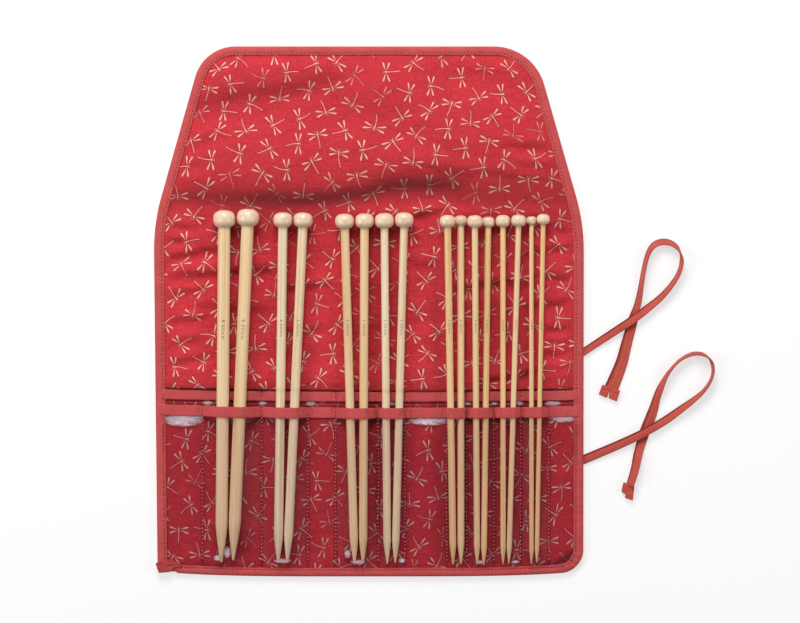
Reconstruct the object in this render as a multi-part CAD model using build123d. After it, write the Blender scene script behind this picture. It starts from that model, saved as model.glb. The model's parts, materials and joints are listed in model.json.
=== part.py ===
from build123d import *
import math
import os

# A soft fold-and-roll case for eight pairs of knitting needles, lying open on its back.
# Millimetres. +Y runs from the pockets to the flap, +Z is up, and the origin is in the
# middle of the underside.

# Outline of the open case. Heights along it are measured from the middle of its bottom edge.
case_length = 344.8  # bottom edge to the end of the flap
case_width = 279.6  # across the shoulders
foot_width = 276.8  # across the bottom corners
foot_bow = 3.2  # how far the bottom edge bows out in its middle
flap_width = 215.0  # along the straight end of the flap
shoulder_height = 229.4  # where the straight sides turn into the slanted ones
shoulder_radius = 130.0
flap_left_radius = 25.0
flap_right_radius = 34.0
foot_right_radius = 18.0

# Layers of the case, from the underside up
cover_thickness = 0.8
interlining_thickness = 1.3
lining_thickness = 0.5

# Bias tape that binds the edge, folded round all the layers
binding_width = 5.7
binding_wall = 1.0  # the tape's folded edge outside the layers
binding_under = 0.4  # its leg under the cover, let into the cover's edge
binding_over = 1.0  # its leg on the lining, with the turned-in seam
binding_round = 1.0
end_fold_thickness = 1.1
end_fold_round = 0.5
end_fold_points = [  # from the case's left bottom corner
    (0.2, 5.2),
    (4.8, 8.4),
    (15.2, 6.2),
    (17.0, 3.4),
    (12.0, 2.8),
    (8.8, 0.0),
    (1.8, 0.2),
]

# The flap folds over the needle heads at two parallel creases
crease_room = 2.44  # from the furthest head to the lower crease
crease_rise = 15.5  # width of the strip between the creases
crease_gap = 0.4
crease_lift = 0.1  # the creases' axis above the binding

# Clear vinyl pockets and the tape along their mouths
vinyl = 0.35
tape_leg = 0.3
tape_wall = 0.8  # tape beyond the vinyl's edge
tape_fit = 0.02  # clearance of the front tape round its sheet
back_mouth_height = 120.1
back_tape_width = 6.6
back_ramp = 2.4  # length over which the sheet climbs onto the tape's lower leg
front_mouth_height = 110.7
front_tape_width = 7.4
tape_round = 0.25
stitch_lines = [-108.0, -69.6, -39.7, -21.5, 6.1, 23.4, 50.6, 63.4, 81.1, 98.5, 116.8]
filled_channels = [0, 1, 3, 4, 6, 7, 8, 9]  # numbers of the stitch lines at their left
point_shrink = 0.75  # room over a needle's point, as a share of the shaft's radius
past_point = 0.3
wall_run = 0.9  # the front sheet drops to its bottom seam within this length

# The needles
needle_reach = 223.3  # middle of the head to the point
head_flatness = 0.85  # a head's length over its diameter
head_bore_depth = 0.55  # how deep the shaft sits in the head, as a share of its length
head_fit = 0.02  # radial clearance of the shaft in the head
point_slenderness = 3.1  # length of the tapered point over the shaft diameter
point_blunt = 0.2  # radius of the rounded tip over the shaft diameter
point_bend = 75  # degrees by which the point's side has turned in where it meets the tip
rest_gap = 0.3  # clearance between loose pieces that lie on each other

# One row for each pair: shaft diameter, then for each of its two needles the head's
# diameter, the head's x, the point's x, the point's height above the bottom edge, and
# how far its head is propped on a neighbour.
needle_pairs = [
    (8.0, [(14.5, -93.5, -95.6, 8.8, 0.0), (14.5, -78.2, -88.0, 9.9, 0.0)]),
    (6.0, [(12.5, -55.6, -58.8, 8.3, 0.0), (12.5, -42.5, -52.9, 8.4, 0.0)]),
    (5.5, [(12.4, -15.7, -9.2, 7.5, 0.0), (12.2, -2.8, -3.8, 7.7, 0.0)]),
    (5.0, [(12.5, 10.1, 12.0, 7.8, 0.0), (12.3, 22.9, 17.1, 8.4, 0.0)]),
    (4.5, [(10.2, 50.9, 54.7, 7.4, 4.2), (8.8, 59.6, 59.7, 7.8, 0.0)]),
    (4.0, [(10.0, 68.6, 70.2, 7.3, 3.7), (8.7, 77.3, 74.5, 7.0, 0.0)]),
    (3.5, [(9.8, 86.9, 87.1, 7.7, 0.0), (9.7, 97.0, 90.8, 8.0, 1.9)]),
    (3.0, [(7.2, 105.5, 105.5, 7.9, 0.0), (8.5, 112.9, 108.9, 8.8, 3.1)]),
]

# Ties of doubled tape sewn into the right edge
tie_diameter = 3.0
tie_lay = 0.05  # clearance under a tie that lies on the table
tie_cross = 0.25  # clearance where a tie passes over itself
tie_root = 2.0  # each tie is drawn from this far inside the edge and cut flush with it
tie_bend_share = 0.45  # of the shorter run at a corner, taken up by its arc
upper_tie_height = 145.6
lower_tie_height = 75.5
tab_thickness = 2.4
notched_tab_length = 6.2
notched_tab_width = 13.0
notched_tab_neck = 9.4  # its width where the tie enters it
notch_width = 3.6
notch_start = 1.9  # from the tie's end
skewed_tab_length = 10.2
skewed_tab_width = 7.4

# Derived heights and places
lining_top = cover_thickness + interlining_thickness + lining_thickness
binding_top = lining_top + binding_over
crease_z = binding_top + crease_lift
back_vinyl_top = lining_top + vinyl
back_tape_top = lining_top + vinyl + 2 * tape_leg
front_vinyl_z = back_vinyl_top + tape_leg  # underside of the front sheet along its seams
bottom_y = -case_length / 2
top_y = case_length / 2
foot_y = bottom_y + foot_bow
shoulder_y = bottom_y + shoulder_height
back_mouth_y = bottom_y + back_mouth_height
front_mouth_y = bottom_y + front_mouth_height
tall = 60.0  # higher than anything in the case
wide = 2 * case_width


def open_outline():
    """The open case from above: bowed bottom, straight sides, slanted shoulders, round flap."""
    corners = [
        (-foot_width / 2, foot_y),
        (-case_width / 2, shoulder_y),
        (-flap_width / 2, top_y),
        (flap_width / 2, top_y),
        (case_width / 2, shoulder_y),
        (foot_width / 2, foot_y),
    ]
    radii = [0, shoulder_radius, flap_left_radius]
    radii += [flap_right_radius, shoulder_radius, foot_right_radius]
    bottom = ThreePointArc(corners[-1], (0, bottom_y), corners[0])
    outline = make_face(Polyline(*corners) + bottom)
    for corner, radius in zip(corners, radii):
        if radius:
            vertex = outline.vertices().sort_by_distance((*corner, 0))[0]
            outline = fillet(vertex, radius)
    return outline


def slab(low, high):
    """A block that takes in all of the case between two values of y."""
    return Pos(0, (low + high) / 2, 0) * Box(wide, high - low, 2 * tall)


def plate(face, bottom, thickness):
    return Pos(0, 0, bottom) * extrude(face, thickness)


def side_x(y):
    """The right edge of the straight side at y."""
    share = (y - foot_y) / (shoulder_y - foot_y)
    return (foot_width + share * (case_width - foot_width)) / 2


class Needle:
    """Where one needle lies: its head, its point and the straight line between them."""

    def __init__(self, shaft, head, head_x, point_x, point_height, propped):
        self.shaft = shaft
        self.head = head
        self.head_length = head_flatness * head
        self.taper = point_slenderness * shaft
        head_z = lining_top + rest_gap + head / 2 + propped
        run = math.sqrt(needle_reach**2 - (head_x - point_x) ** 2)
        head_y = bottom_y + point_height + run
        back_tape_y = back_mouth_y - back_tape_width / 2
        slope_at_tape = (head_z - self.rest_on(back_tape_top)) / (head_y - back_tape_y)
        slope_at_sheet = (head_z - self.rest_on(back_vinyl_top)) / (run - self.taper)
        rise = min(slope_at_tape, slope_at_sheet) * run
        self.start = Vector(head_x, head_y, head_z)
        self.way = Vector(point_x - head_x, -run, -rise).normalized()

    def rest_on(self, height):
        return height + rest_gap + self.shaft / 2

    def at(self, y):
        """The point of the axis at y."""
        return self.start + self.way * ((y - self.start.Y) / self.way.Y)

    @property
    def tip(self):
        return self.start + self.way * needle_reach

    def plane(self):
        """A frame at the head's middle whose z runs towards the point."""
        return Plane(origin=self.start, x_dir=(0, 0, 1), z_dir=self.way)


needles = [
    Needle(shaft, *place)
    for shaft, pair in needle_pairs
    for place in pair
]


outline = open_outline()
cloth = offset(outline, amount=-binding_wall)
inside = offset(outline, amount=-binding_width)
pocket_room = plate(inside, 0, tall)


# Cover, interlining, lining and binding, made whole and then cut at the creases
cover = plate(inside, 0, cover_thickness)
cover += plate(cloth, binding_under, cover_thickness - binding_under)
interlining = plate(cloth, cover_thickness, interlining_thickness)
lining = plate(cloth, cover_thickness + interlining_thickness, lining_thickness)


def make_binding():
    ring = plate(outline, 0, binding_top)
    ring = fillet(ring.faces().sort_by(Axis.Z)[-1].edges(), binding_round)
    ring = fillet(ring.faces().sort_by(Axis.Z)[0].edges(), binding_under)
    return ring - pocket_room - cover - interlining - lining


binding = make_binding()
crease_y = max(needle.start.Y + needle.head_length / 2 for needle in needles) + crease_room
upper_crease_y = crease_y + crease_rise
zones = {
    "body": slab(-case_length, crease_y - crease_gap / 2),
    "fold": slab(crease_y + crease_gap / 2, upper_crease_y - crease_gap / 2),
    "flap": slab(upper_crease_y + crease_gap / 2, case_length),
}

pieces = {}
for zone, block in zones.items():
    pieces["outer_cover_" + zone] = cover & block
    pieces["interlining_" + zone] = interlining & block
    pieces["lining_" + zone] = lining & block
pieces["binding_body"] = binding & zones["body"]
pieces["binding_flap"] = binding & zones["flap"]
edge_strips = (binding & zones["fold"]).solids().sort_by(Axis.X)
pieces["binding_fold_left"] = edge_strips[0]
pieces["binding_fold_right"] = edge_strips[-1]


# Where the binding's two ends meet, one is folded over the other at the left bottom corner
def make_end_fold():
    corner = Pos(-foot_width / 2, foot_y)
    face = corner * make_face(Polyline(*end_fold_points, close=True))
    fold = plate(face, binding_top, end_fold_thickness)
    return fillet(fold.faces().sort_by(Axis.Z)[-1].edges(), end_fold_round)


pieces["binding_end_fold"] = make_end_fold()


# The back pocket: a flat sheet whose upper edge is bound with tape
def make_back_sheet():
    ramp_end = back_mouth_y - back_tape_width
    ramp_start = ramp_end - back_ramp
    edge = back_mouth_y - tape_wall
    low, high = lining_top, lining_top + tape_leg
    points = [(bottom_y, low), (ramp_start, low), (ramp_end, high), (edge, high)]
    points += [(y, z + vinyl) for y, z in reversed(points)]
    profile = Plane.YZ * make_face(Polyline(*points, close=True))
    return (extrude(profile, wide / 2, both=True)) & pocket_room


def make_back_tape():
    height = back_tape_top - lining_top
    middle = back_mouth_y - back_tape_width / 2
    tape = Pos(0, middle, lining_top + height / 2) * Box(wide, back_tape_width, height)
    tape = fillet(tape.edges().filter_by(Axis.X).group_by(Axis.Z)[-1], tape_round)
    return (tape & pocket_room) - pieces["back_pocket"]


pieces["back_pocket"] = make_back_sheet()
pieces["back_pocket_tape"] = make_back_tape()


def make_shaft(needle):
    """A round rod, tapered in a long ogive to a blunt tip; its other end sits in the head."""
    radius = needle.shaft / 2
    blunt = point_blunt * needle.shaft
    top = (head_bore_depth - 0.5) * needle.head_length
    shoulder = needle_reach - needle.taper
    bend = math.radians(point_bend)
    nose = needle_reach - blunt
    touch = (blunt * math.sin(bend), nose + blunt * math.cos(bend))
    side = Line((radius, -top), (radius, shoulder))
    inward = (-math.cos(bend), math.sin(bend))
    ogive = Spline((radius, shoulder), touch, tangents=[(0, 1), inward])
    half_way = (blunt * math.sin(bend / 2), nose + blunt * math.cos(bend / 2))
    tip = ThreePointArc(touch, half_way, (0, needle_reach))
    axis = Polyline((0, needle_reach), (0, -top), (radius, -top))
    profile = Plane.XZ * make_face(side + ogive + tip + axis)
    return needle.plane().location * revolve(profile, Axis.Z)


def make_head(needle):
    """A turned ball, slightly flattened, with a blind bore for the shaft."""
    radius = needle.head / 2
    half = needle.head_length / 2
    bore_radius = needle.shaft / 2 + head_fit
    bore_end = half - head_bore_depth * needle.head_length - head_fit
    oval = Ellipse(radius, half) & Pos(radius, 0) * Rectangle(2 * radius, 2 * radius)
    profile = oval - Pos(bore_radius / 2, bore_end + radius) * Rectangle(bore_radius, 2 * radius)
    return needle.plane().location * revolve(Plane.XZ * profile, Axis.Z)


for number, needle in enumerate(needles, 1):
    pieces[f"needle_shaft_{number:02d}"] = make_shaft(needle)
    pieces[f"needle_head_{number:02d}"] = make_head(needle)


# The front pocket: one sheet stitched down in channels and pulled taut over each pair
def touching(point, middle, radius, side):
    """Where a line from the point meets a circle, passing over it, and the line's slope."""
    across, up = middle[0] - point[0], middle[1] - point[1]
    distance = math.hypot(across, up)
    angle = math.atan2(up, across) + side * math.asin(radius / distance)
    length = math.sqrt(distance**2 - radius**2)
    meets = (point[0] + length * math.cos(angle), point[1] + length * math.sin(angle))
    return meets, angle if side > 0 else math.pi - angle


def on_circle(middle, radius, first, second):
    """The point of the circle half way between two others of it."""
    x = (first[0] + second[0]) / 2 - middle[0]
    z = (first[1] + second[1]) / 2 - middle[1]
    size = radius / math.hypot(x, z)
    return (middle[0] + x * size, middle[1] + z * size)


def taut_line(left, right, height, rods, offset_by):
    """A sheet's surface over two rods: five stretches as lists of (x, z), straight or arcs."""
    (first, radius), (second, _) = rods
    reach = radius + offset_by
    _, slope = touching((left, height - offset_by), first, radius, 1)
    start = (left - offset_by * math.tan(slope / 2), height)
    _, slope = touching((right, height - offset_by), second, radius, -1)
    end = (right + offset_by * math.tan(slope / 2), height)
    on_first, _ = touching(start, first, reach, 1)
    on_second, _ = touching(end, second, reach, -1)
    across, up = second[0] - first[0], second[1] - first[1]
    length = math.hypot(across, up)
    lift = (-up / length * reach, across / length * reach)
    top_first = (first[0] + lift[0], first[1] + lift[1])
    top_second = (second[0] + lift[0], second[1] + lift[1])
    return [
        [start, on_first],
        [on_first, on_circle(first, reach, on_first, top_first), top_first],
        [top_first, top_second],
        [top_second, on_circle(second, reach, top_second, on_second), on_second],
        [on_second, end],
    ]


def flat_line(left, right, height, rods):
    """The same five stretches where the sheet lies flat."""
    (first, radius), (second, _) = rods
    xs = [left, first[0] - radius, first[0], second[0], second[0] + radius, right]
    return [[(a, height), (b, height)] for a, b in zip(xs, xs[1:])]


def edges_at(y, stretches):
    edges = []
    for stretch in stretches:
        points = [(x, y, z) for x, z in stretch]
        edges.append(ThreePointArc(*points) if len(points) == 3 else Line(*points))
    return edges


def closed_wire(y, lower, upper):
    lower_edges, upper_edges = edges_at(y, lower), edges_at(y, upper)
    ends = [
        Line(lower_edges[0] @ 0, upper_edges[0] @ 0),
        Line(lower_edges[-1] @ 1, upper_edges[-1] @ 1),
    ]
    return Wire(lower_edges + upper_edges + ends)


def rods_at(pair, y, extra, shrink=1.0):
    """The two needles at y as circles, with room round them for the sheet."""
    rods = []
    for needle in pair:
        middle = needle.at(y)
        rods.append(((middle.X, middle.Z), shrink * needle.shaft / 2 + extra))
    return rods


def vault(left, right, pair, sections, under, over):
    """A stretch of sheet over a pair of needles, from under to over its nominal underside.

    Each section is y and the share of the shaft's radius there, or None where it lies flat.
    """
    wires = []
    for y, shrink in sections:
        rods = rods_at(pair, y, rest_gap + tape_leg + under, shrink or 1.0)
        height = front_vinyl_z + under
        if shrink is None:
            lower = flat_line(left, right, height, rods)
            upper = flat_line(left, right, front_vinyl_z + over, rods)
        else:
            lower = taut_line(left, right, height, rods, 0)
            upper = taut_line(left, right, front_vinyl_z + over, rods, over - under)
        wires.append(closed_wire(y, lower, upper))
    return Solid.make_loft(wires, ruled=True)


def channels():
    """Each channel's left and right seam and the pair in it, if it holds one."""
    seams = [-wide / 2, *stitch_lines, wide / 2]
    pairs = iter(zip(needles[::2], needles[1::2]))
    found = []
    for number, (left, right) in enumerate(zip(seams, seams[1:])):
        found.append((left, right, next(pairs) if number - 1 in filled_channels else None))
    return found


def make_front_sheet():
    edge = front_mouth_y - tape_wall
    length = edge - bottom_y
    flat = Pos(0, edge - length / 2, front_vinyl_z + vinyl / 2)
    strips = []
    for left, right, pair in channels():
        if pair is None:
            strips.append(flat * Pos((left + right) / 2) * Box(right - left, length, vinyl))
            continue
        tip_y = min(needle.tip.Y for needle in pair)
        taper_y = max(needle.tip.Y + needle.taper for needle in pair)
        end_y = tip_y - past_point - wall_run
        sections = [(edge, 1.0), (taper_y, 1.0)]
        sections += [(tip_y - past_point, point_shrink), (end_y, None)]
        strips.append(vault(left, right, pair, sections, 0, vinyl))
        foot = Pos((left + right) / 2, (end_y + bottom_y) / 2, front_vinyl_z + vinyl / 2)
        strips.append(foot * Box(right - left, end_y - bottom_y, vinyl))
    return strips[0].fuse(*strips[1:]) & pocket_room


def across_the_mouth(low, high, under, over):
    """A layer between two values of y, from under to over the front sheet's underside."""
    flat = Pos(0, (low + high) / 2, front_vinyl_z + (under + over) / 2)
    strips = []
    for left, right, pair in channels():
        if pair is None:
            block = Box(right - left, high - low, over - under)
            strips.append(flat * Pos((left + right) / 2) * block)
        else:
            sections = [(high, 1.0), (low, 1.0)]
            strips.append(vault(left, right, pair, sections, under, over))
    return strips[0].fuse(*strips[1:])


def make_front_tape():
    low = front_mouth_y - front_tape_width
    edge = front_mouth_y - tape_wall
    tape = across_the_mouth(low, front_mouth_y, -tape_leg, vinyl + tape_leg)
    sheet = across_the_mouth(low - tape_wall, edge + tape_fit, -tape_fit, vinyl + tape_fit)
    return (tape & pocket_room) - sheet


pieces["front_pocket"] = make_front_sheet()
pieces["front_pocket_tape"] = make_front_tape()


# Ties: their routes over the table, and the folded tabs at their ends
lying = tie_diameter / 2 + tie_lay
over_itself = lying + tie_diameter + tie_cross
upper_tie_route = [  # from where the tie leaves the edge
    (-tie_root, -1.4, lying),
    (17.3, 11.6, 2.9),
    (32.0, 21.0, over_itself),
    (44.3, 30.2, 3.2),
    (54.1, 39.2, 1.75),
    (60.9, 48.0, lying),
    (64.0, 56.8, lying),
    (63.5, 64.4, lying),
    (59.5, 70.0, lying),
    (52.7, 72.3, lying),
    (45.9, 70.0, lying),
    (41.7, 63.8, lying),
    (39.3, 54.4, lying),
    (37.6, 42.6, lying),
    (35.6, 31.2, lying),
    (32.1, 20.6, lying),
    (29.1, 9.2, lying),
    (26.1, -3.4, lying),
    (22.2, -14.8, lying),
    (17.7, -24.2, lying),
]
lower_tie_route = [
    (-tie_root, -0.8, lying),
    (19.8, 8.3, 2.8),
    (40.4, 17.9, over_itself),
    (56.0, 27.3, 3.2),
    (69.6, 36.9, 1.75),
    (79.2, 45.3, lying),
    (84.2, 53.1, lying),
    (85.2, 60.7, lying),
    (82.1, 66.7, lying),
    (76.0, 69.6, lying),
    (69.0, 68.7, lying),
    (61.8, 64.3, lying),
    (54.8, 55.9, lying),
    (49.4, 44.5, lying),
    (45.0, 29.7, lying),
    (39.8, 16.7, lying),
    (36.4, 5.3, lying),
    (34.2, -5.5, lying),
    (30.8, -16.5, lying),
]


def placed(route, height):
    """The route's points on the table, for a tie that leaves the edge at this height."""
    exit_y = bottom_y + height
    return [(side_x(exit_y) + x, exit_y + y, z) for x, y, z in route]


def corner_radii(route):
    """The largest arc that each corner's two runs leave room for."""
    points = [Vector(*point) for point in route]
    radii = []
    for before, corner, after in zip(points, points[1:], points[2:]):
        turn = (corner - before).get_angle(after - corner)
        shorter = min((corner - before).length, (after - corner).length)
        radii.append(tie_bend_share * shorter / math.tan(math.radians(turn) / 2))
    return radii


def make_tie(route, name):
    radii = corner_radii(route)
    path = FilletPolyline(*route, radius=radii)
    tube = sweep(Plane(origin=path @ 0, z_dir=path % 0) * Circle(tie_diameter / 2), path=path)
    nominal = math.pi * tie_diameter**2 / 4 * path.length
    print(name, "length", round(path.length, 1), "volume share", round(tube.volume / nominal, 4))
    print(name, "radii", [round(radius, 1) for radius in radii])
    return tube - plate(outline, -tall / 2, tall)


def tab_frame(route):
    """A flat frame on the table at the end of a route, with x along the tie."""
    end = Vector(*route[-1])
    way = end - Vector(*route[-2])
    origin = (end.X, end.Y, tie_lay)
    return Plane(origin=origin, x_dir=(way.X, way.Y, 0), z_dir=(0, 0, 1)).location


def make_notched_tab(route):
    """Two folded tape ends side by side, spread apart in a notch."""
    length, half, neck = notched_tab_length, notched_tab_width / 2, notched_tab_neck / 2
    tab = make_face(Polyline((0, -neck), (length, -half), (length, half), (0, neck), close=True))
    past_end = length + 1
    mouth = notch_width / 2
    notch = make_face(Polyline((past_end, -mouth), (notch_start, 0), (past_end, mouth), close=True))
    return tab_frame(route) * extrude(tab - notch, tab_thickness)


def make_skewed_tab(route):
    """A tape end folded over once, a little askew."""
    length, half = skewed_tab_length, skewed_tab_width / 2
    lower_corner = (0.85 * length, -1.1 * half)
    end_corners = [(length, -0.2 * half), (length, 0.9 * half)]
    face = make_face(Polyline((0, -half), lower_corner, *end_corners, (0, half), close=True))
    return tab_frame(route) * extrude(face, tab_thickness)


upper_route = placed(upper_tie_route, upper_tie_height)
lower_route = placed(lower_tie_route, lower_tie_height)
pieces["tie_upper"] = make_tie(upper_route, "tie_upper")
pieces["tie_lower"] = make_tie(lower_route, "tie_lower")
pieces["tie_upper_tab"] = make_notched_tab(upper_route)
pieces["tie_lower_tab"] = make_skewed_tab(lower_route)


os.makedirs("parts", exist_ok=True)
for name, shape in pieces.items():
    export_step(shape, f"parts/{name}.step")
print(len(pieces), "pieces")
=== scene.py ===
import json
import math
import bmesh
import bpy
import numpy as np
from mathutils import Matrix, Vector, noise


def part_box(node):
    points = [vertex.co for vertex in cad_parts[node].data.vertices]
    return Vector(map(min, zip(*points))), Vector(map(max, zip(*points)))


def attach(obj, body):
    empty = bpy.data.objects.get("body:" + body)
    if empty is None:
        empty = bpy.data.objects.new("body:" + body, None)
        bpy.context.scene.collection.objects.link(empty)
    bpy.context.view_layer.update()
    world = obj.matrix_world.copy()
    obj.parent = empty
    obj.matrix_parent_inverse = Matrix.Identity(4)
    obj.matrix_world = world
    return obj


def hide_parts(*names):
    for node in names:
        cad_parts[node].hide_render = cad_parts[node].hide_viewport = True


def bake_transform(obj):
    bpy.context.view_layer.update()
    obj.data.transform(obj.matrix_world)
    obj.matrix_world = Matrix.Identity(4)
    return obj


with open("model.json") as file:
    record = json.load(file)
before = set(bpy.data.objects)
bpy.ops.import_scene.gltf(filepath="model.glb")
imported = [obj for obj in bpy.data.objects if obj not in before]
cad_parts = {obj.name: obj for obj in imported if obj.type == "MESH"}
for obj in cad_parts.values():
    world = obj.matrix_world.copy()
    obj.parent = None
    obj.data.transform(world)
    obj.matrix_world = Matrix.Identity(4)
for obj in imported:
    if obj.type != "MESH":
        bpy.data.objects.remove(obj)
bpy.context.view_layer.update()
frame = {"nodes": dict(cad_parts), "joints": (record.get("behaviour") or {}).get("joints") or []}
joints = {joint["name"]: joint for joint in frame["joints"]}
mm = 0.001  # shapes are worked out in millimetres and made in metres
upwards = Vector((0, 0, 1))


def addObject(name, data):
    thing = bpy.data.objects.new(name, data)
    bpy.context.scene.collection.objects.link(thing)
    return thing


# Camera, straight above the case
cameraSetup = {"at": (20.2, -0.3, 2000.0), "lens": 138.4}


def addCamera():
    data = bpy.data.cameras.new("camera")
    data.lens = cameraSetup["lens"]
    camera = addObject("camera", data)
    camera.location = Vector(cameraSetup["at"]) * mm
    bpy.context.scene.camera = camera


addCamera()
print("camera in place")


# Shader building
class Wire:
    # a shader socket that sums, products and powers can be written with
    def __init__(self, paint, socket):
        self.paint = paint
        self.socket = socket

    def of(self, operation, *others):
        return self.paint.add("ShaderNodeMath", {"operation": operation}, [self, *others])

    def swapped(self, operation, other):
        return self.paint.add("ShaderNodeMath", {"operation": operation}, [other, self])

    def __add__(self, other):
        return self.of("ADD", other)

    def __sub__(self, other):
        return self.of("SUBTRACT", other)

    def __rsub__(self, other):
        return self.swapped("SUBTRACT", other)

    def __mul__(self, other):
        return self.of("MULTIPLY", other)

    def __truediv__(self, other):
        return self.of("DIVIDE", other)

    def __rtruediv__(self, other):
        return self.swapped("DIVIDE", other)

    def __pow__(self, other):
        return self.of("POWER", other)

    def __lt__(self, other):
        return self.of("LESS_THAN", other)

    def __abs__(self):
        return self.of("ABSOLUTE")

    __radd__ = __add__
    __rmul__ = __mul__

    def larger(self, other):
        return self.of("MAXIMUM", other)

    def smaller(self, other):
        return self.of("MINIMUM", other)

    def clamped(self):
        return self.larger(0.0).smaller(1.0)

    def eased(self, low, high, first=0.0, last=1.0):
        # first below low, last above high, smooth between
        inputs = {"Value": self, "From Min": low, "From Max": high, "To Min": first, "To Max": last}
        return self.paint.add("ShaderNodeMapRange", {"interpolation_type": "SMOOTHSTEP"}, inputs)

    def output(self, key):
        # another output of the same node
        return Wire(self.paint, self.socket.node.outputs[key])


class Paint:
    # one material or world: its nodes are added one by one and end in its output
    def __init__(self, name, blocks="materials"):
        self.block = getattr(bpy.data, blocks).new(name)
        self.block.use_nodes = True
        self.tree = self.block.node_tree
        self.tree.nodes.clear()

    def add(self, kind, settings=None, inputs=(), out=0):
        node = self.tree.nodes.new(kind)
        for key, value in (settings or {}).items():
            setattr(node, key, value)
        pairs = inputs.items() if isinstance(inputs, dict) else enumerate(inputs)
        for key, value in pairs:
            if isinstance(value, Wire):
                self.tree.links.new(value.socket, node.inputs[key])
            else:
                node.inputs[key].default_value = value
        return Wire(self, node.outputs[out]) if node.outputs else None

    def mix(self, amount, first, second):
        inputs = {0: amount, 6: first, 7: second}
        return self.add("ShaderNodeMix", {"data_type": "RGBA"}, inputs, 2)

    def place(self):
        # x and y of the piece as it was cut, in millimetres
        cut = self.add("ShaderNodeUVMap", {"uv_map": "cut"})
        x = self.add("ShaderNodeSeparateXYZ", inputs=[cut])
        return x, x.output(1)

    def noise(self, x, y, scale, detail=2.0, rough=0.5):
        at = self.add("ShaderNodeCombineXYZ", inputs=[x, y, 0.0])
        inputs = {"Vector": at, "Scale": scale, "Detail": detail, "Roughness": rough}
        return self.add("ShaderNodeTexNoise", {"noise_dimensions": "2D"}, inputs)

    def grain(self, scale, detail=2.0):
        # noise through the whole object
        at = self.add("ShaderNodeTexCoord", out=3)
        inputs = {"Vector": at, "Scale": scale, "Detail": detail}
        return self.add("ShaderNodeTexNoise", inputs=inputs)

    def bump(self, height, depth):
        inputs = {"Height": height, "Strength": 1.0, "Distance": depth * mm}
        return self.add("ShaderNodeBump", inputs=inputs)

    def surface(self, inputs, height=None, depth=0.0):
        if height is not None:
            inputs["Normal"] = self.bump(height, depth)
        return self.finish(self.add("ShaderNodeBsdfPrincipled", inputs=inputs))

    def finish(self, shader, kind="Material"):
        self.add("ShaderNodeOutput" + kind, inputs={"Surface": shader})
        return self.block


def ink(red, green, blue):
    # screen values from 0 to 255 as a linear colour
    linear = [((v / 255 + 0.055) / 1.055) ** 2.4 for v in (red, green, blue)]
    return (*linear, 1.0)


# Meshes
def makeObject(name, mesh, material):
    piece = addObject(name, mesh)
    mesh.materials.append(material)
    for face in mesh.polygons:
        face.use_smooth = True
    return piece


def makeMesh(name, points, faces, places):
    # points in millimetres; places holds the x and y of each face corner as the piece was cut
    mesh = bpy.data.meshes.new(name)
    mesh.from_pydata(points * mm, [], faces)
    layer = mesh.uv_layers.new(name="cut")
    layer.data.foreach_set("uv", np.array(places, np.float32).ravel())
    return mesh


mergeDistance = 0.002 * mm


def loft(name, rings, cuts, material):
    # a skin over closed rings of points in millimetres; each end is closed by strips across its
    # ring, and cuts holds the x and y of each point as it was cut, one column more than a ring
    rings, cuts = np.array(rings), np.array(cuts)
    rows, columns = rings.shape[:2]
    faces, places = [], []
    for i in range(rows - 1):
        here, there = i * columns, (i + 1) * columns
        for j in range(columns):
            k = (j + 1) % columns
            faces.append((here + j, here + k, there + k, there + j))
            places += [cuts[i, j], cuts[i, j + 1], cuts[i + 1, j + 1], cuts[i + 1, j]]
    for i in (0, rows - 1):
        for j in range(columns // 2 - 1):
            corners = [j, j + 1, columns - 2 - j, columns - 1 - j]
            faces.append([i * columns + corner for corner in corners])
            places += [cuts[i, corner] for corner in corners]
    mesh = makeMesh(name, rings.reshape(-1, 3), faces, places)
    shape = bmesh.new()
    shape.from_mesh(mesh)
    bmesh.ops.recalc_face_normals(shape, faces=shape.faces)
    for edge in shape.edges:
        rowsOfEdge = {vertex.index // columns for vertex in edge.verts}
        edge.smooth = rowsOfEdge not in ({0}, {rows - 1})
    bmesh.ops.remove_doubles(shape, verts=shape.verts, dist=mergeDistance)
    bmesh.ops.dissolve_degenerate(shape, dist=mergeDistance, edges=shape.edges)
    lone = [face for face in shape.faces if all(len(edge.link_faces) != 2 for edge in face.edges)]
    bmesh.ops.delete(shape, geom=lone, context="FACES_ONLY")
    shape.to_mesh(mesh)
    shape.free()
    return makeObject(name, mesh, material)


def refine(shape, longest, rounds):
    # triangles, their edges halved where they are too long
    bmesh.ops.triangulate(shape, faces=shape.faces)
    for _ in range(rounds):
        longEdges = [edge for edge in shape.edges if edge.calc_length() > longest]
        bmesh.ops.subdivide_edges(shape, edges=longEdges, cuts=1)
        bmesh.ops.triangulate(shape, faces=shape.faces)


def extrude(shape):
    # a flat shape made into a solid; gives back the points of its upper side
    grown = bmesh.ops.extrude_face_region(shape, geom=shape.faces[:])
    return {point for point in grown["geom"] if isinstance(point, bmesh.types.BMVert)}


def markCut(shape):
    # where each corner lies now is its place in the cut
    layer = shape.loops.layers.uv.new("cut")
    for face in shape.faces:
        for loop in face.loops:
            loop[layer].uv = loop.vert.co.xy


def saveShape(shape, mesh):
    bmesh.ops.recalc_face_normals(shape, faces=shape.faces)
    shape.to_mesh(mesh)
    shape.free()


def joined(name, pieces):
    # several pieces as one object, with the name given
    bpy.ops.object.select_all(action="DESELECT")
    for piece in pieces:
        piece.select_set(True)
    bpy.context.view_layer.objects.active = pieces[0]
    if len(pieces) > 1:
        bpy.ops.object.join()
    pieces[0].name = name
    pieces[0].select_set(False)
    return pieces[0]


def ripple(x, y, size, seed=0.0):
    # soft noise from -1 to 1 at each point, with lumps of about that size
    x, y = np.broadcast_arrays(x, y)
    spots = zip(np.ravel(x) / size, np.ravel(y) / size)
    values = [noise.noise((a, b, seed)) for a, b in spots]
    return np.reshape(values, x.shape) * 1.6


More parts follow.
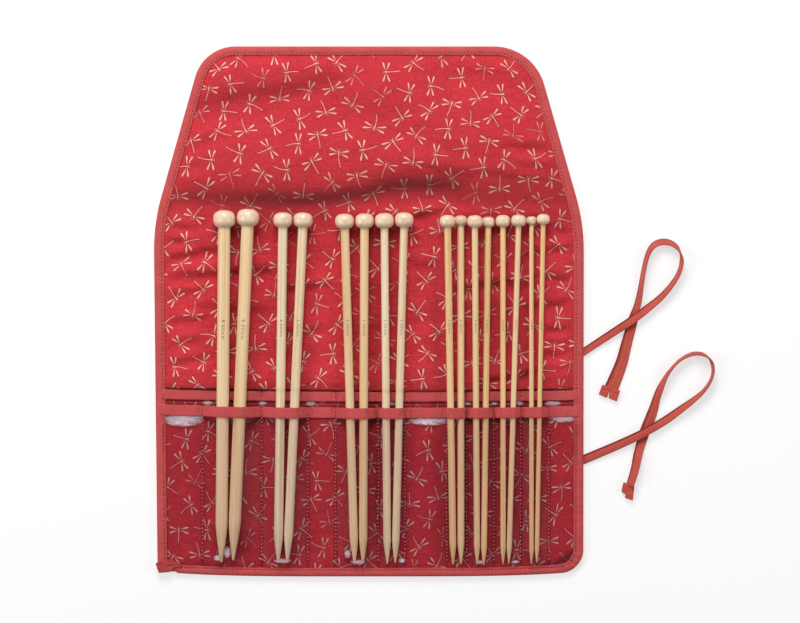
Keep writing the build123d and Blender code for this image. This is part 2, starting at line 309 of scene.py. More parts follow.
def wobble(gone, size, row, depth=0.0):
    # soft noise along a line
    return np.array([noise.noise((value / size, row, depth)) for value in gone])


def puffs(x, y, size, seed=0.0):
    # rounded swellings from 0 to 1 with sharp creases between them
    return np.abs(ripple(x, y, size, seed)) ** 0.75


def bell(value, middle, width):
    return np.exp(-(((value - middle) / width) ** 2))


def ramp(value, low, high):
    # 0 below low, 1 above high, smooth between
    share = np.clip((value - low) / (high - low), 0, 1)
    return share * share * (3 - 2 * share)


def lengthAlong(line):
    # how far along the line each of its points is
    return np.concatenate([[0], np.cumsum(np.linalg.norm(np.diff(line, axis=0), axis=1))])


def axesAround(along):
    # unit vectors square to a direction: one level and one upright
    side = along.cross(upwards).normalized()
    return side, side.cross(along)


pocketSeams = [-108.0, -69.6, -39.7, -21.5, 6.1, 23.4, 50.6, 63.4, 81.1, 98.5, 116.8]  # x of each
# The bands of the pockets sag towards the middle: where, how far, and how much they lean
bandSag = {"upper": (-54.3, 1.4, 0.35), "lower": (-64.5, 1.6, 0.5)}


def sagging(x, which):
    start, sag, lean = bandSag[which]
    share = x / 137.0
    return start - sag * (1 - share * share) - lean * share


def bandTop(x):
    # where the lining meets the upper edge of the upper band
    return sagging(x, "upper") + 3.2


# Materials
printPattern = {
    "pitch": 17.6,  # between neighbouring dragonflies
    "wander": 1.5,
    "lean": math.radians(14),  # of the rows of figures
    "drift": 9.0,
    "wing": 6.9,
    "wingWidth": 0.74,
    "wingAngle": math.radians(17),
    "tail": 8.6,
    "tailWidth": 0.21,
    "tailBend": 5.0,
    "dot": 0.26,
    "sharpness": 4.5,
}


def nearestCell(x, y, shift):
    # the nearest cell of one of two interleaved lattices, and how far away its middle is
    wide, tall = printPattern["pitch"], printPattern["pitch"] * math.sqrt(3)
    column, row = (x / wide + shift).of("ROUND"), (y / tall + shift).of("ROUND")
    across, up = x - (column - shift) * wide, y - (row - shift) * tall
    return column, row, across, up, across * across + up * up


def dragonflies(paint, x, y):
    # the mask of the print, a faint dark rim round it, and one random value for each figure
    drift, lean = printPattern["drift"], printPattern["lean"]
    driftX, driftY = paint.noise(x, y, 0.013, 1.0) * drift, paint.noise(y, x, 0.014, 1.0) * drift
    x, y = (x * math.cos(lean) + y * math.sin(lean) + driftX,
            y * math.cos(lean) - x * math.sin(lean) + driftY)
    cellA, cellB = nearestCell(x, y, 0.0), nearestCell(x, y, 0.5)
    nearer = cellA[4] < cellB[4]
    column, row, across, up = (b + nearer * (a - b) for a, b in zip(cellA[:4], cellB[:4]))
    cell = paint.add("ShaderNodeCombineXYZ", inputs=[column, row, nearer * 7.0])
    chance = paint.add("ShaderNodeTexWhiteNoise", {"noise_dimensions": "3D"}, {"Vector": cell}, 1)
    first = paint.add("ShaderNodeSeparateXYZ", inputs=[chance])
    second, third = first.output(1), first.output(2)
    wander = 2 * printPattern["wander"]
    across, up = across - (second - 0.5) * wander, up - (third - 0.5) * wander
    angle = first * math.tau
    sine, cosine = angle.of("SINE"), angle.of("COSINE")
    u = across * cosine - up * sine
    v = across * sine + up * cosine - 1.5
    side, height = abs(u), abs(v + 0.1)
    # wings: four drops that widen away from the body
    wing, lean = printPattern["wing"], printPattern["wingAngle"]
    along = side * math.cos(lean) + height * math.sin(lean)
    off = abs(height * math.cos(lean) - side * math.sin(lean))
    share = ((along - 1.0) / (wing - 1.0)).clamped()
    drop = share ** 0.85 * (1 - share ** 7.0) ** 0.5 * printPattern["wingWidth"]
    wings = (drop - off).smaller((wing - along) * 1.5).smaller((along - 0.9) * 1.5)
    # tail: a thin curved line, a little thicker at the body
    down = (0 - v) / printPattern["tail"]
    bend = (second - 0.5) * printPattern["tailBend"]
    reach = down.larger(0.0)
    tail = printPattern["tailWidth"] - abs(u - reach * reach * bend)
    tail = tail + (0.25 - down).larger(0.0) * 0.8
    tail = tail.smaller((1 - down) * 3.0).smaller((down + 0.12) * 3.0)
    # two dots at the head
    dotAcross, dotUp = side - 0.75, v - 1.75
    dots = printPattern["dot"] - (dotAcross * dotAcross + dotUp * dotUp) ** 0.5
    shape = wings.larger(tail).larger(dots)
    mask = (shape * printPattern["sharpness"] + 0.5).clamped()
    return mask, shape.eased(-0.75, -0.1, 0.0, 0.42), third


cottonInks = {
    "lit": ink(213, 49, 58),
    "deep": ink(184, 36, 47),
    "fleck": ink(226, 86, 94),
    "cream": ink(244, 192, 177),
    "pink": ink(232, 128, 124),
    "rim": ink(128, 12, 24),
    # the last three inks are painted shade: along folds, behind the bands and needles, and beside
    # the seams
    "fold": ink(72, 2, 6),
    "shade": ink(66, 6, 14),
    "seam": ink(60, 8, 14),
}
# Painted shade on the cloth: along its folds, behind the upper band, at the foot, where the needles
# lie and beside the seams. A set of four reads: low, high, value below low, value above high
paintedCottonShade = {
    # along the lower crease, all by x
    "foldHeight": (-40.0, 40.0, 73.0, 82.5),
    "foldDrop": (50.0, 85.0, 0.0, 6.5),
    "foldWidth": (40.0, 80.0, 9.5, 19.0),
    "foldLeft": (-138.0, -60.0, 0.38, 0.8),
    "foldRight": (42.0, 75.0, 1.0, 0.5),
    "foldFade": 1.7,
    # along a second fold in the upper left of the flap
    "upperFold": {"x": -68.0, "y": 157.0, "slope": 0.2, "width": 8.5},
    "upperFoldShade": (38.0, 72.0, 0.26, 0.0),
    # above the upper band, in patches, and less at the right
    "behindBand": (0.5, 9.0, 0.34, 0.0),
    "patches": (0.35, 0.6, 0.3, 1.2),
    "patchesRight": (60.0, 110.0, 1.0, 0.4),
    # at the foot, more towards its ends, and in the lower right corner
    "foot": (-168.0, -160.0, 1.0, 0.0),
    "footEnds": (70.0, 128.0, 0.22, 0.75),
    "corner": (241.5, 246.0, 0.0, 0.75),
    # where the needles lie: middle and half width of each group
    "needles": [(77.0, 36.0), (3.0, 21.0), (-86.0, 13.0), (-50.0, 12.0)],
    "needleShade": 0.2,
    "needleTops": (50.0, 66.0, 1.0, 0.0),
    # beside the bands and the seams
    "gutter": (0.6, 1.7, 0.8, 0.0),
    "gutterSides": (20.0, 50.0, 0.3, 1.0),
    "upperMouth": (0.5, 1.3, 0.65, 0.0),
    "lowerMouth": (0.5, 1.3, 0.5, 0.0),
    "seams": (0.5, 1.5, 0.38, 0.0),
}


def foldShade(paint, x, y):
    # painted shade along two folds of the cloth
    shading, upper = paintedCottonShade, paintedCottonShade["upperFold"]
    wander = (paint.noise(x, 0.0, 0.03, 1.0) - 0.5) * 7.0
    middle = x.eased(*shading["foldHeight"]) - x.eased(*shading["foldDrop"])
    away = (y + wander - middle) / x.eased(*shading["foldWidth"])
    strength = x.eased(*shading["foldLeft"]) * x.eased(*shading["foldRight"])
    above = (y + wander * 0.6 - x * upper["slope"] - upper["y"]) / upper["width"]
    second = abs(x - upper["x"]).eased(*shading["upperFoldShade"])
    first, second = (share / (off * off + 1.0) ** shading["foldFade"]
                     for share, off in ((strength, away), (second, above)))
    return first.larger(second)


def shadows(paint, x, y, cloudy):
    # soft shade behind the upper band, at the foot and where the needles lie
    shading, above = paintedCottonShade, y - bandTop(x)
    patchy = paint.noise(x, 3.0, 0.03, 1.0).eased(*shading["patches"])
    patchy = patchy * x.eased(*shading["patchesRight"])
    behind = above.eased(*shading["behindBand"]) * (bandTop(x) - y < 0.0) * patchy
    foot = (y + (cloudy - 0.5) * 7.0).eased(*shading["foot"]) * abs(x).eased(*shading["footEnds"])
    foot = foot.larger((x * 0.67 - y).eased(*shading["corner"]))
    dimmed = 0.0
    for middle, half in shading["needles"]:
        beside = abs(x - middle).eased(half - 7.0, half + 5.0, shading["needleShade"], 0.0)
        dimmed = beside.larger(dimmed)
    return behind.larger(foot).larger(dimmed * y.eased(*shading["needleTops"]))


def seamShade(x, y):
    # thin dark lines beside the bands and along the seams of the pockets
    shading = paintedCottonShade
    gutter = abs(y - bandTop(x) - 0.3).eased(*shading["gutter"])
    gutter = gutter * abs(x - 32.0).eased(*shading["gutterSides"])
    mouths = abs(y - sagging(x, "upper") + 3.9).eased(*shading["upperMouth"])
    mouths = mouths.larger(abs(y - sagging(x, "lower") - 4.0).eased(*shading["lowerMouth"]))
    beside = 99.0
    for seam in pocketSeams:
        beside = abs(x - seam).smaller(beside)
    return gutter.larger(mouths).larger(beside.eased(*shading["seams"]) * (y < -62.0))


def makePrintedCotton():
    paint = Paint("printedCotton")
    x, y = paint.place()
    mask, rim, chance = dragonflies(paint, x, y)
    warp = paint.noise(x * 1.5, y * 0.17, 1.0, 3.0, 0.6)
    weft = paint.noise(x * 0.17, y * 1.5, 1.0, 3.0, 0.6)
    slub = (warp + weft) * 0.5
    cloudy = paint.noise(x, y, 0.035, 2.0)
    flecks = paint.noise(x * 1.1, y * 1.1, 1.0, 4.0, 0.75)
    tone = slub * 2.9 + cloudy * 0.6 - 1.25
    ground = paint.mix(tone, cottonInks["deep"], cottonInks["lit"])
    ground = paint.mix((flecks - 0.5) * 2.3, ground, cottonInks["fleck"])
    ground = paint.mix(rim, ground, cottonInks["rim"])
    pinkish = (chance * 4.0 - 2.9).clamped()
    figure = paint.mix(pinkish, cottonInks["cream"], cottonInks["pink"])
    figure = paint.mix(slub * 0.7 - 0.17, figure, cottonInks["pink"])
    colour = paint.mix(mask * 0.95, ground, figure)
    # painted shade: along folds, behind the upper band, at the foot, where the needles lie and
    # beside the seams
    colour = paint.mix(foldShade(paint, x, y), colour, cottonInks["fold"])
    colour = paint.mix(shadows(paint, x, y, cloudy), colour, cottonInks["shade"])
    colour = paint.mix(seamShade(x, y), colour, cottonInks["seam"])
    threads = paint.noise(x * 5.0, y * 1.2, 1.0, 2.0) + paint.noise(x * 1.2, y * 5.0, 1.0, 2.0)
    creases = paint.noise(x * 0.9, y * 1.4, 0.22, 4.0, 0.6)
    return paint.surface({
        "Base Color": colour, "Roughness": 0.82, "Sheen Weight": 0.12, "Sheen Roughness": 0.5,
        "Specular IOR Level": 0.25,
    }, threads * 0.16 + creases * 0.9, 0.9)


plainCottons = {
    # lit and deep colour, roughness, fineness and depth of the weave, and the strength of the
    # painted shade along the folded edge
    "coverCotton": ((176, 44, 52), (150, 34, 42), 0.85, 6.0, 0.15, 0.0),
    "bindingCotton": ((204, 82, 82), (182, 66, 68), 0.75, 7.0, 0.16, 0.0),
    # the binding cotton made darker: painted shade of the folded end
    "foldedCotton": ((190, 66, 66), (164, 50, 52), 0.75, 7.0, 0.16, 0.0),
    "tieCotton": ((202, 88, 72), (180, 68, 56), 0.72, 7.0, 0.12, 0.75),
    "tabCotton": ((202, 88, 72), (180, 68, 56), 0.72, 7.0, 0.12, 0.0),
}


def makePlainCotton(name):
    # bias-cut cotton: a fine diagonal weave and uneven colour along the tape
    lit, deep, rough, weave, depth, edge = plainCottons[name]
    paint = Paint(name)
    x, y = paint.place()
    slub = paint.noise(x * 0.8 + y * 0.8, (x - y) * 3.5, 1.0, 3.0, 0.6)
    patches = paint.noise(x, y * 0.4, 0.09, 2.0)
    colour = paint.mix(slub * 0.8 + patches * 1.0 - 0.4, ink(*deep), ink(*lit))
    # painted shade in the crevice along the open folded edge of the tape
    if edge:
        colour = paint.mix(y.eased(0.8, 1.8, edge, 0.0), colour, ink(100, 6, 6))
    threads = paint.noise((x + y) * weave, (x - y) * 1.2, 1.0, 1.0)
    threads = threads + paint.noise((x + y) * 1.2, (x - y) * weave, 1.0, 1.0)
    pulls = paint.noise(x * 0.7, y * 0.5, 0.45, 3.0)
    return paint.surface({
        "Base Color": colour, "Roughness": rough, "Sheen Weight": 0.15, "Sheen Roughness": 0.4,
        "Specular IOR Level": 0.35,
    }, threads * 0.35 + pulls * 3.0, depth)


def makeThread(name, red, green, blue):
    paint = Paint(name)
    x, y = paint.place()
    twist = paint.noise(x + y * 3.0, y, 1.6, 1.0)
    colour = ink(red, green, blue)
    shade = paint.mix(twist * 0.5, colour, tuple(0.6 * c for c in colour[:3]) + (1.0,))
    inputs = {"Base Color": shade, "Roughness": 0.8, "Specular IOR Level": 0.15}
    return paint.surface(inputs, twist, 0.1)


filmLook = {
    # painted reflections, white glints on the film: x, y, half width, half height
    "places": [
        (-120.5, -70.0, 14.5, 5.4), (38.5, -71.3, 13.5, 3.4), (126.5, -69.0, 10.0, 3.6),
        (-91.8, -156.5, 2.4, 4.0), (-98.0, -160.0, 2.8, 2.2), (-56.0, -162.0, 6.0, 1.6),
        (-7.0, -162.6, 5.0, 1.5), (-13.8, -157.6, 2.2, 3.0), (21.5, -162.0, 2.6, 1.6),
        (72.0, -162.8, 3.4, 1.2), (95.0, -162.8, 3.2, 1.1), (-105.0, -59.6, 3.6, 1.5),
        (-69.0, -59.9, 3.2, 1.5), (-38.0, -60.0, 3.4, 1.7), (15.0, -60.0, 2.8, 1.3),
        (64.0, -60.0, 2.8, 1.4), (81.6, -59.9, 2.4, 1.3), (98.0, -59.9, 2.8, 1.4),
        (119.5, -60.0, 6.0, 1.7),
    ],
    "tint": (0.97, 0.955, 0.965, 1.0),
    "glintColour": ink(246, 226, 238),
    "body": ink(128, 66, 82),
    "gloss": 0.8,
    "veil": 0.025,
    "cover": 0.5,  # how much a painted glint hides
}


def makeVinyl():
    # a clear film: mostly see-through, with painted white reflections in places and soft real
    # reflections
    paint = Paint("clearVinyl")
    x, y = paint.place()
    veil = paint.noise(x, y * 0.5, 0.06, 3.0, 0.6)
    crumple = paint.noise(x, y * 2.2, 0.28, 3.0, 0.65)
    paintedGlint = 0.0
    # painted reflections: white glints at the listed places
    for placeX, placeY, wide, tall in filmLook["places"]:
        across, up = (x - placeX) / wide, (y - placeY) / tall
        paintedGlint = (1 - (across * across + up * up)).larger(paintedGlint)
    ragged = paint.noise(x * 0.6 + y * 0.9, y * 1.6 - x * 0.3, 0.45, 3.0, 0.55)
    inside = paintedGlint.eased(0.0, 0.25)
    paintedGlint = (paintedGlint + (ragged - 0.52) * 1.5).larger(0.0) ** 0.5 * (crumple * 0.4 + 0.65) * inside
    paintedGlint = paintedGlint.clamped()
    bump = paint.bump(paint.noise(x * 0.6, y, 0.12, 1.0, 0.4) + crumple * 0.3, 0.45)
    clear = paint.add("ShaderNodeBsdfTransparent", inputs={"Color": filmLook["tint"]})
    film = paint.add("ShaderNodeBsdfPrincipled", inputs={
        "Base Color": paint.mix(paintedGlint, filmLook["body"], filmLook["glintColour"]),
        "Roughness": 0.2, "IOR": 1.5, "Normal": bump,
    })
    gloss = paint.add("ShaderNodeFresnel", inputs={"IOR": 1.3, "Normal": bump})
    inner = paint.add("ShaderNodeNewGeometry", out=6)
    share = gloss * (1 - inner) * filmLook["gloss"] + veil * filmLook["veil"]
    inputs = [share + paintedGlint * filmLook["cover"], clear, film]
    return paint.finish(paint.add("ShaderNodeMixShader", inputs=inputs))


bambooTones = {
    "pale": ink(237, 218, 186),
    "warm": ink(241, 197, 139),
    "fibre": ink(206, 162, 106),
    "apart": 400.0,  # each tone has its own stretch of y
    "step": 0.05,
    "knotAt": 92.0,
}


def makeBamboo():
    # x runs round the shaft and y along it; which stretch of y it is tells how warm the cane is
    paint = Paint("bamboo")
    x, y = paint.place()
    fibres = paint.noise(x * 3.2, y * 0.012, 1.0, 4.0, 0.7)
    streaks = paint.noise(x * 0.6, y * 0.006, 1.0, 2.0)
    stretch = (y / bambooTones["apart"]).of("ROUND")
    warmth = stretch * bambooTones["step"]
    colour = paint.mix(warmth, bambooTones["pale"], bambooTones["warm"])
    grain = (fibres - 0.36) * 1.1 + (streaks - 0.46) * 1.6
    colour = paint.mix(grain, colour, bambooTones["fibre"])
    along = y - stretch * bambooTones["apart"] - bambooTones["knotAt"]
    knot = 1 / ((along + paint.noise(x, 0.0, 0.6, 1.0) * 3.0) ** 2.0 * 0.6 + 1.0)
    colour = paint.mix(knot * (warmth - 0.22 < 0.2) * 0.35, colour, bambooTones["fibre"])
    return paint.surface({
        "Base Color": colour, "Roughness": fibres * 0.2 + 0.4, "Coat Weight": 0.1,
        "Coat Roughness": 0.3, "Specular IOR Level": 0.4,
    }, fibres, 0.08)


def makeHeadWood():
    paint = Paint("headWood")
    x, y = paint.place()
    rings = paint.noise(x * 0.9, y * 0.22, 1.0, 4.0, 0.65)
    blush = paint.noise(x * 0.35, y * 0.5, 0.5, 2.0)
    colour = paint.mix((rings - 0.25) * 1.7, ink(243, 221, 195), ink(219, 184, 148))
    colour = paint.mix(blush * 0.8 - 0.25, colour, ink(234, 192, 170))
    return paint.surface({
        "Base Color": colour, "Roughness": rings * 0.12 + 0.34, "Coat Weight": 0.5,
        "Coat Roughness": 0.27, "Specular IOR Level": 0.5,
    }, rings, 0.06)


def makeWadding():
    paint = Paint("wadding")
    fluff = paint.grain(700.0, 4.0)
    colour = paint.mix(fluff, ink(214, 206, 196), ink(238, 233, 226))
    inputs = {"Base Color": colour, "Roughness": 0.95, "Sheen Weight": 0.3}
    return paint.surface(inputs, fluff, 0.3)


def makePrintInk():
    paint = Paint("sizeInk")
    x, y = paint.place()
    colour = paint.mix(paint.noise(x, y, 2.0, 2.0), ink(92, 78, 60), ink(150, 126, 92))
    return paint.surface({"Base Color": colour, "Roughness": 0.7})


printedCotton = makePrintedCotton()
coverCotton, bindingCotton, foldedCotton, tieCotton, tabCotton = map(makePlainCotton, plainCottons)
darkThread = makeThread("darkThread", 132, 28, 36)
# the same thread drawn pale pink: a painted highlight on the stitches over the film
paintedHighlightThread = makeThread("paintedHighlightThread", 236, 112, 124)
clearVinyl = makeVinyl()
bamboo = makeBamboo()
headWood = makeHeadWood()
wadding = makeWadding()
sizeInk = makePrintInk()
print("materials made")


# Ties: tapes folded in two lengthwise, lying in a loop beside the case
tieShape = {
    "width": 7.0,
    # along the route, how wide it is folded
    "folded": [
        (0, 4.8), (3, 5.6), (8, 6.0), (11.5, 5.8), (13.5, 4.6), (15, 5.6), (16.5, 6.8), (19, 7.0),
    ],
    "thickness": 1.3,
    "clear": 0.05,
    "lying": 1.55,
    "sink": 0.8,
    "fineness": 12,
    "smoothing": 17,
    # across in half widths and up in millimetres: round the outside
    "outside": [
        (-1, 0.5), (-0.74, 0.56), (-0.62, 0.2), (-0.5, 0.64), (-0.1, 0.6), (0.4, 0.62),
        (0.75, 0.6), (0.92, 0.42), (1, 0), (0.92, -0.42), (0.75, -0.6), (0.42, -0.62),
        (0.34, -0.36), (0.24, -0.62), (-0.2, -0.64), (-0.3, -0.4), (-0.42, -0.66),
        (-0.75, -0.64), (-1, -0.5),
    ],
    # then back inside the fold: its lower side, its end, and its upper side the same way out
    "inside": [
        (-1, -0.22), (-0.85, -0.21), (-0.7, -0.2), (-0.5, -0.18), (-0.3, -0.16), (0, -0.14),
        (0.3, -0.12), (0.55, -0.1), (0.65, -0.06),
    ],
    "insideEnd": (0.68, 0),
}
# Each point of a route: x and y from the exit, and how wide the tie looks there from above. The
# middle of the tie rises over the edge of the case at the second to the fifth point
tieRoutes = {
    "tieUpper": {
        "exit": (139.281, -26.8),
        "turnsOver": 6.5,
        "rise": (2.9, 4.8, 3.2, 1.75),
        "points": [
            (-2, -1.4, 4.6), (17.3, 11.6, 5.0), (32, 21, 5.4), (44.3, 30.2, 4.6),
            (54.1, 39.2, 3.6), (60.9, 48, 3.0), (64, 56.8, 2.5), (63.5, 64.4, 2.6),
            (59.5, 70, 3.6), (52.7, 72.3, 4.4), (45.9, 70, 4.0), (41.7, 63.8, 3.0),
            (39.3, 54.4, 2.8), (37.6, 42.6, 3.1), (35.6, 31.2, 4.1), (32.1, 20.6, 6.6),
            (29.1, 9.2, 6.9), (26.1, -3.4, 7.6), (22.2, -14.8, 8.6), (17.7, -24.2, 9.2),
        ],
    },
    "tieLower": {
        "exit": (138.847, -96.9),
        "turnsOver": 7.5,
        "rise": (2.8, 4.8, 3.2, 1.75),
        "points": [
            (-2, -0.8, 5.9), (19.8, 8.3, 5.8), (40.4, 17.9, 5.6), (56, 27.3, 5.2),
            (69.6, 36.9, 3.8), (79.2, 45.3, 2.2), (84.2, 53.1, 1.7), (85.2, 60.7, 1.9),
            (82.1, 66.7, 2.2), (76, 69.6, 2.8), (69, 68.7, 2.5), (61.8, 64.3, 1.8),
            (54.8, 55.9, 1.9), (49.4, 44.5, 4.5), (45, 29.7, 6.6), (39.8, 16.7, 6.8),
            (36.4, 5.3, 5.8), (34.2, -5.5, 5.2), (30.8, -16.5, 4.7),
        ],
    },
}


def splinePoints(points):
    # a smooth line through the route, in metres, and where along the route each of its points is
    curve = bpy.data.curves.new("route", "CURVE")
    curve.dimensions = "3D"
    spline = curve.splines.new("NURBS")
    spline.points.add(len(points) - 1)
    for spot, point in zip(spline.points, points):
        spot.co = (*point, 1)
    spline.order_u = 3
    spline.use_endpoint_u = True
    spline.resolution_u = tieShape["fineness"]
    carrier = bpy.data.objects.new("route", curve)
    mesh = bpy.data.meshes.new_from_object(carrier)
    line = np.array([vertex.co for vertex in mesh.vertices])
    bpy.data.objects.remove(carrier)
    bpy.data.meshes.remove(mesh)
    return line, np.linspace(0, len(points) - 2, len(line))


def turnedOver(points):
    # the points of a section the other way round, with their heights turned over
    return [(across, -height) for across, height in reversed(points)]


def makeTie(name, route):
    # the tape turns onto its edge round the loop and lies flat again at its end
    x, y, seen = np.array(route["points"]).T
    z = np.full(len(x), tieShape["lying"])
    z[1:5] = route["rise"]
    exitX, exitY = route["exit"]
    line, at = splinePoints(np.stack([exitX + x, exitY + y, z], 1) * mm)
    knots = np.clip(np.arange(len(x)) - 0.5, 0, len(x) - 2)
    seen, thickness = np.interp(at, knots, seen), tieShape["thickness"]
    width = np.maximum(seen, np.interp(at, *zip(*tieShape["folded"])))
    tilt = np.arccos(np.clip((seen - thickness) / (width - thickness), 0.03, 1))
    roll = np.where(at < route["turnsOver"], tilt, math.pi - tilt)
    window = tieShape["smoothing"]
    roll = np.pad(roll, window // 2, mode="edge")
    roll = np.convolve(roll, np.ones(window) / window, mode="valid")
    middles = line / mm
    way, gone = np.gradient(middles, axis=0), lengthAlong(middles)
    wave, sway = 0.12 * wobble(gone, 9, 3.0), 0.25 * wobble(gone, 14, 7.0)
    inside = tieShape["inside"]
    section = np.array([*tieShape["outside"], *inside, tieShape["insideEnd"], *turnedOver(inside)])
    places = (section[:, 0] + 1) * tieShape["width"] / 2
    rings, cuts = [], []
    for i, (x, y, z) in enumerate(middles):
        side, up = axesAround(Vector(way[i]).normalized())
        across = side * math.cos(roll[i]) + up * math.sin(roll[i])
        normal = up * math.cos(roll[i]) - side * math.sin(roll[i])
        reach = width[i] / 2 * abs(across.z) + thickness / 2 * abs(normal.z)
        height = max(z - tieShape["sink"], reach + tieShape["clear"])
        middle = Vector((x, y, height)) + side * sway[i]
        rings.append([middle + across * a * width[i] / 2 + normal * (b + wave[i] * abs(a))
                      for a, b in section])
        cuts.append([(gone[i], place) for place in (*places, places[0])])
    return loft(name, rings, cuts, tieCotton), line


tieLines = {name: makeTie(name, route) for name, route in tieRoutes.items()}
print("ties made")


# The case from above: corners with their radii, anticlockwise from the left shoulder
caseOutline = {
    "corners": [
        (-139.8, 57.0, 130.0), (-137.3, -169.2, 2.5), (139.3, -169.2, 14.0),
        (139.6, 57.0, 130.0), (106.8, 171.9, 34.0), (-107.3, 171.9, 27.0),
    ],
    "cornerPoints": 24,
    "foot": (-133.5, 122.0, 60),  # its straight part: from x, to x, how many points
    "bow": 3.2,  # how far the foot bows out
    "bowFrom": 158,
    "step": 1.3,
    "middleCrease": 76.95,
}


def roundedCorner(corner, before, after):
    place, radius = Vector(corner[:2]), corner[2]
    inward = (Vector(before[:2]) - place).normalized()
    outward = (Vector(after[:2]) - place).normalized()
    half = inward.angle(outward) / 2
    middle = place + (inward + outward).normalized() * radius / math.sin(half)
    first = place + inward * radius / math.tan(half)
    last = place + outward * radius / math.tan(half)
    start = math.atan2(*reversed(first - middle))
    turn = (math.atan2(*reversed(last - middle)) - start + math.pi) % math.tau - math.pi
    angles = start + turn * np.linspace(0, 1, caseOutline["cornerPoints"])
    return np.stack([middle.x + radius * np.cos(angles), middle.y + radius * np.sin(angles)], 1)


def closedOutline():
    corners = caseOutline["corners"]
    lines = []
    for i, corner in enumerate(corners):
        lines.append(roundedCorner(corner, corners[i - 1], corners[(i + 1) % len(corners)]))
        if i == 1:
            foot = np.linspace(*caseOutline["foot"])
            lines.append(np.stack([foot, np.full(len(foot), corner[1])], 1))
    line = np.concatenate(lines)
    bow = caseOutline["bow"] * (1 - (line[:, 0] / corners[1][0]) ** 4)
    line[:, 1] -= bow * ramp(-line[:, 1], caseOutline["bowFrom"], -corners[1][1])
    return line


def spacedOut(line, step):
    # the line again with points about step apart, and its length up to each
    gone = lengthAlong(line)
    at = np.linspace(0, gone[-1], max(3, math.ceil(gone[-1] / step)))
    return np.stack([np.interp(at, gone, line[:, k]) for k in range(line.shape[1])], 1), at


def halfOutline(lower):
    # the outline's part below or above the middle of the creases, anticlockwise
    line = closedOutline()
    line = np.concatenate([line, line[:1]])
    limit = caseOutline["middleCrease"]
    dense, _ = spacedOut(line, 0.1)
    side = dense[:, 1] <= limit if lower else dense[:, 1] >= limit
    changes = np.flatnonzero(np.diff(side.astype(int)) == 1)
    dense, side = np.roll(dense, -changes[0] - 1, axis=0), np.roll(side, -changes[0] - 1)
    kept = dense[side]
    kept[[0, -1], 1] = limit
    return spacedOut(kept, caseOutline["step"])


def sideEdges(y):
    # the outline's left and right x at y
    line = closedOutline()
    left, right = line[line[:, 0] < 0], line[line[:, 0] > 0]
    left, right = left[np.argsort(left[:, 1])], right[np.argsort(right[:, 1])]
    return np.interp(y, left[:, 1], left[:, 0]), np.interp(y, right[:, 1], right[:, 0])


# Needles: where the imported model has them, and their sizes
needleSizes = {
    "pairs": [8.0, 6.0, 5.5, 5.0, 4.5, 4.0, 3.5, 3.0],  # diameters, each of two needles
    "reach": 223.3,  # from the middle of the head to the tip
    "flatness": 0.85,
    # the tone of each needle's cane
    "tones": [
        0.45, 0.5, 0.0, 0.05, 0.55, 0.6, 0.05, 0.1, 0.9, 0.65, 0.6, 0.9, 0.95, 0.55, 0.7, 1.0,
    ],
    "slenderness": 3.3,  # the length of the point, in diameters
    "blunt": 0.4,  # the rounding of the tip, in radii
    "sides": 32,
}


class Needle:
    def __init__(self, number):
        self.number = number
        self.label = f"{number:02d}"
        self.body = "needle_" + self.label
        self.size = needleSizes["pairs"][(number - 1) // 2]
        self.radius = self.size / 2
        self.tone = needleSizes["tones"][number - 1]
        low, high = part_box("needle_head_" + self.label)
        self.head = (high.x - low.x) / mm / 2
        top = high.y / mm - self.head * needleSizes["flatness"]
        self.start = Vector(((low.x + high.x) / mm / 2, top, (low.z + high.z) / mm / 2))
        self.way = -Vector(joints[self.body + "_slide"]["axis"])
        self.taperAt = needleSizes["reach"] - needleSizes["slenderness"] * self.size
        self.nose = needleSizes["reach"] - needleSizes["blunt"] * self.radius

    def at(self, y):
        return self.start + self.way * ((y - self.start.y) / self.way.y)

    def radiusAt(self, gone):
        # the shaft's radius that far from the middle of the head
        share = np.clip((gone - self.taperAt) / (self.nose - self.taperAt), 0, 1)
        return self.radius * (1 - 0.8 * share ** 1.35)


needles = [Needle(number) for number in range(1, 17)]


# The layers of the case
creaseLines = [joints[name]["pos_m"][1] / mm for name in ("lower_crease", "upper_crease")]
layerShape = {
    "inset": 2.0,  # from the outer edge of the binding
    "liningUnder": 2.12,
    "liningTop": 2.6,
    "liningLeast": 0.12,  # its least thickness
    "coverTop": 0.75,
    "row": 1.9,
    "bendLength": 3.0,  # short enough to keep the wadding covered
    "bindingWidth": 6.8,
}
pocketShape = {
    "backSeams": [-69.6, -21.5, 23.4, 63.4, 98.5],
    "empty": [0, 3, 6, 11],  # the pockets that hold no needle
    "seamHeight": 3.25,
    "bottom": -167.2,
}


def bandLine(x, which):
    # the middle of a band; between seams the lower one hangs down a little over the needles
    if which == "upper":
        return sagging(x, which)
    edges = np.array([-135.0, *pocketSeams, 136.0])
    k = np.clip(np.searchsorted(edges, x) - 1, 0, len(edges) - 2)
    wide = edges[k + 1] - edges[k]
    part = (x - edges[k]) / wide
    hang = np.minimum(0.35, 0.013 * wide) * np.where(np.isin(k, pocketShape["empty"]), 0.3, 1.0)
    return sagging(x, which) - hang * ramp(part, 0.0, 0.32) * (1 - ramp(part, 0.68, 1.0))


def roomUnderNeedles(x, y):
    # how far the lining may rise before it meets a shaft or a head
    room = np.full(np.shape(x), 3.0)
    for needle in needles:
        if y > needle.start.y + needle.head:
            continue
        centre = needle.at(min(y, needle.start.y))
        for middle, radius in ((centre, needle.radius), (needle.start, needle.head)):
            gap = abs(y - middle.y)
            if gap >= radius:
                continue
            half = math.sqrt(radius ** 2 - gap ** 2)
            off = np.abs(x - middle.x)
            under = middle.z - np.sqrt(np.clip(half ** 2 - off ** 2, 0, None))
            under = under + 1.5 * np.clip(off - half, 0, None) - layerShape["liningTop"] - 0.08
            room = np.minimum(room, under)
    return room


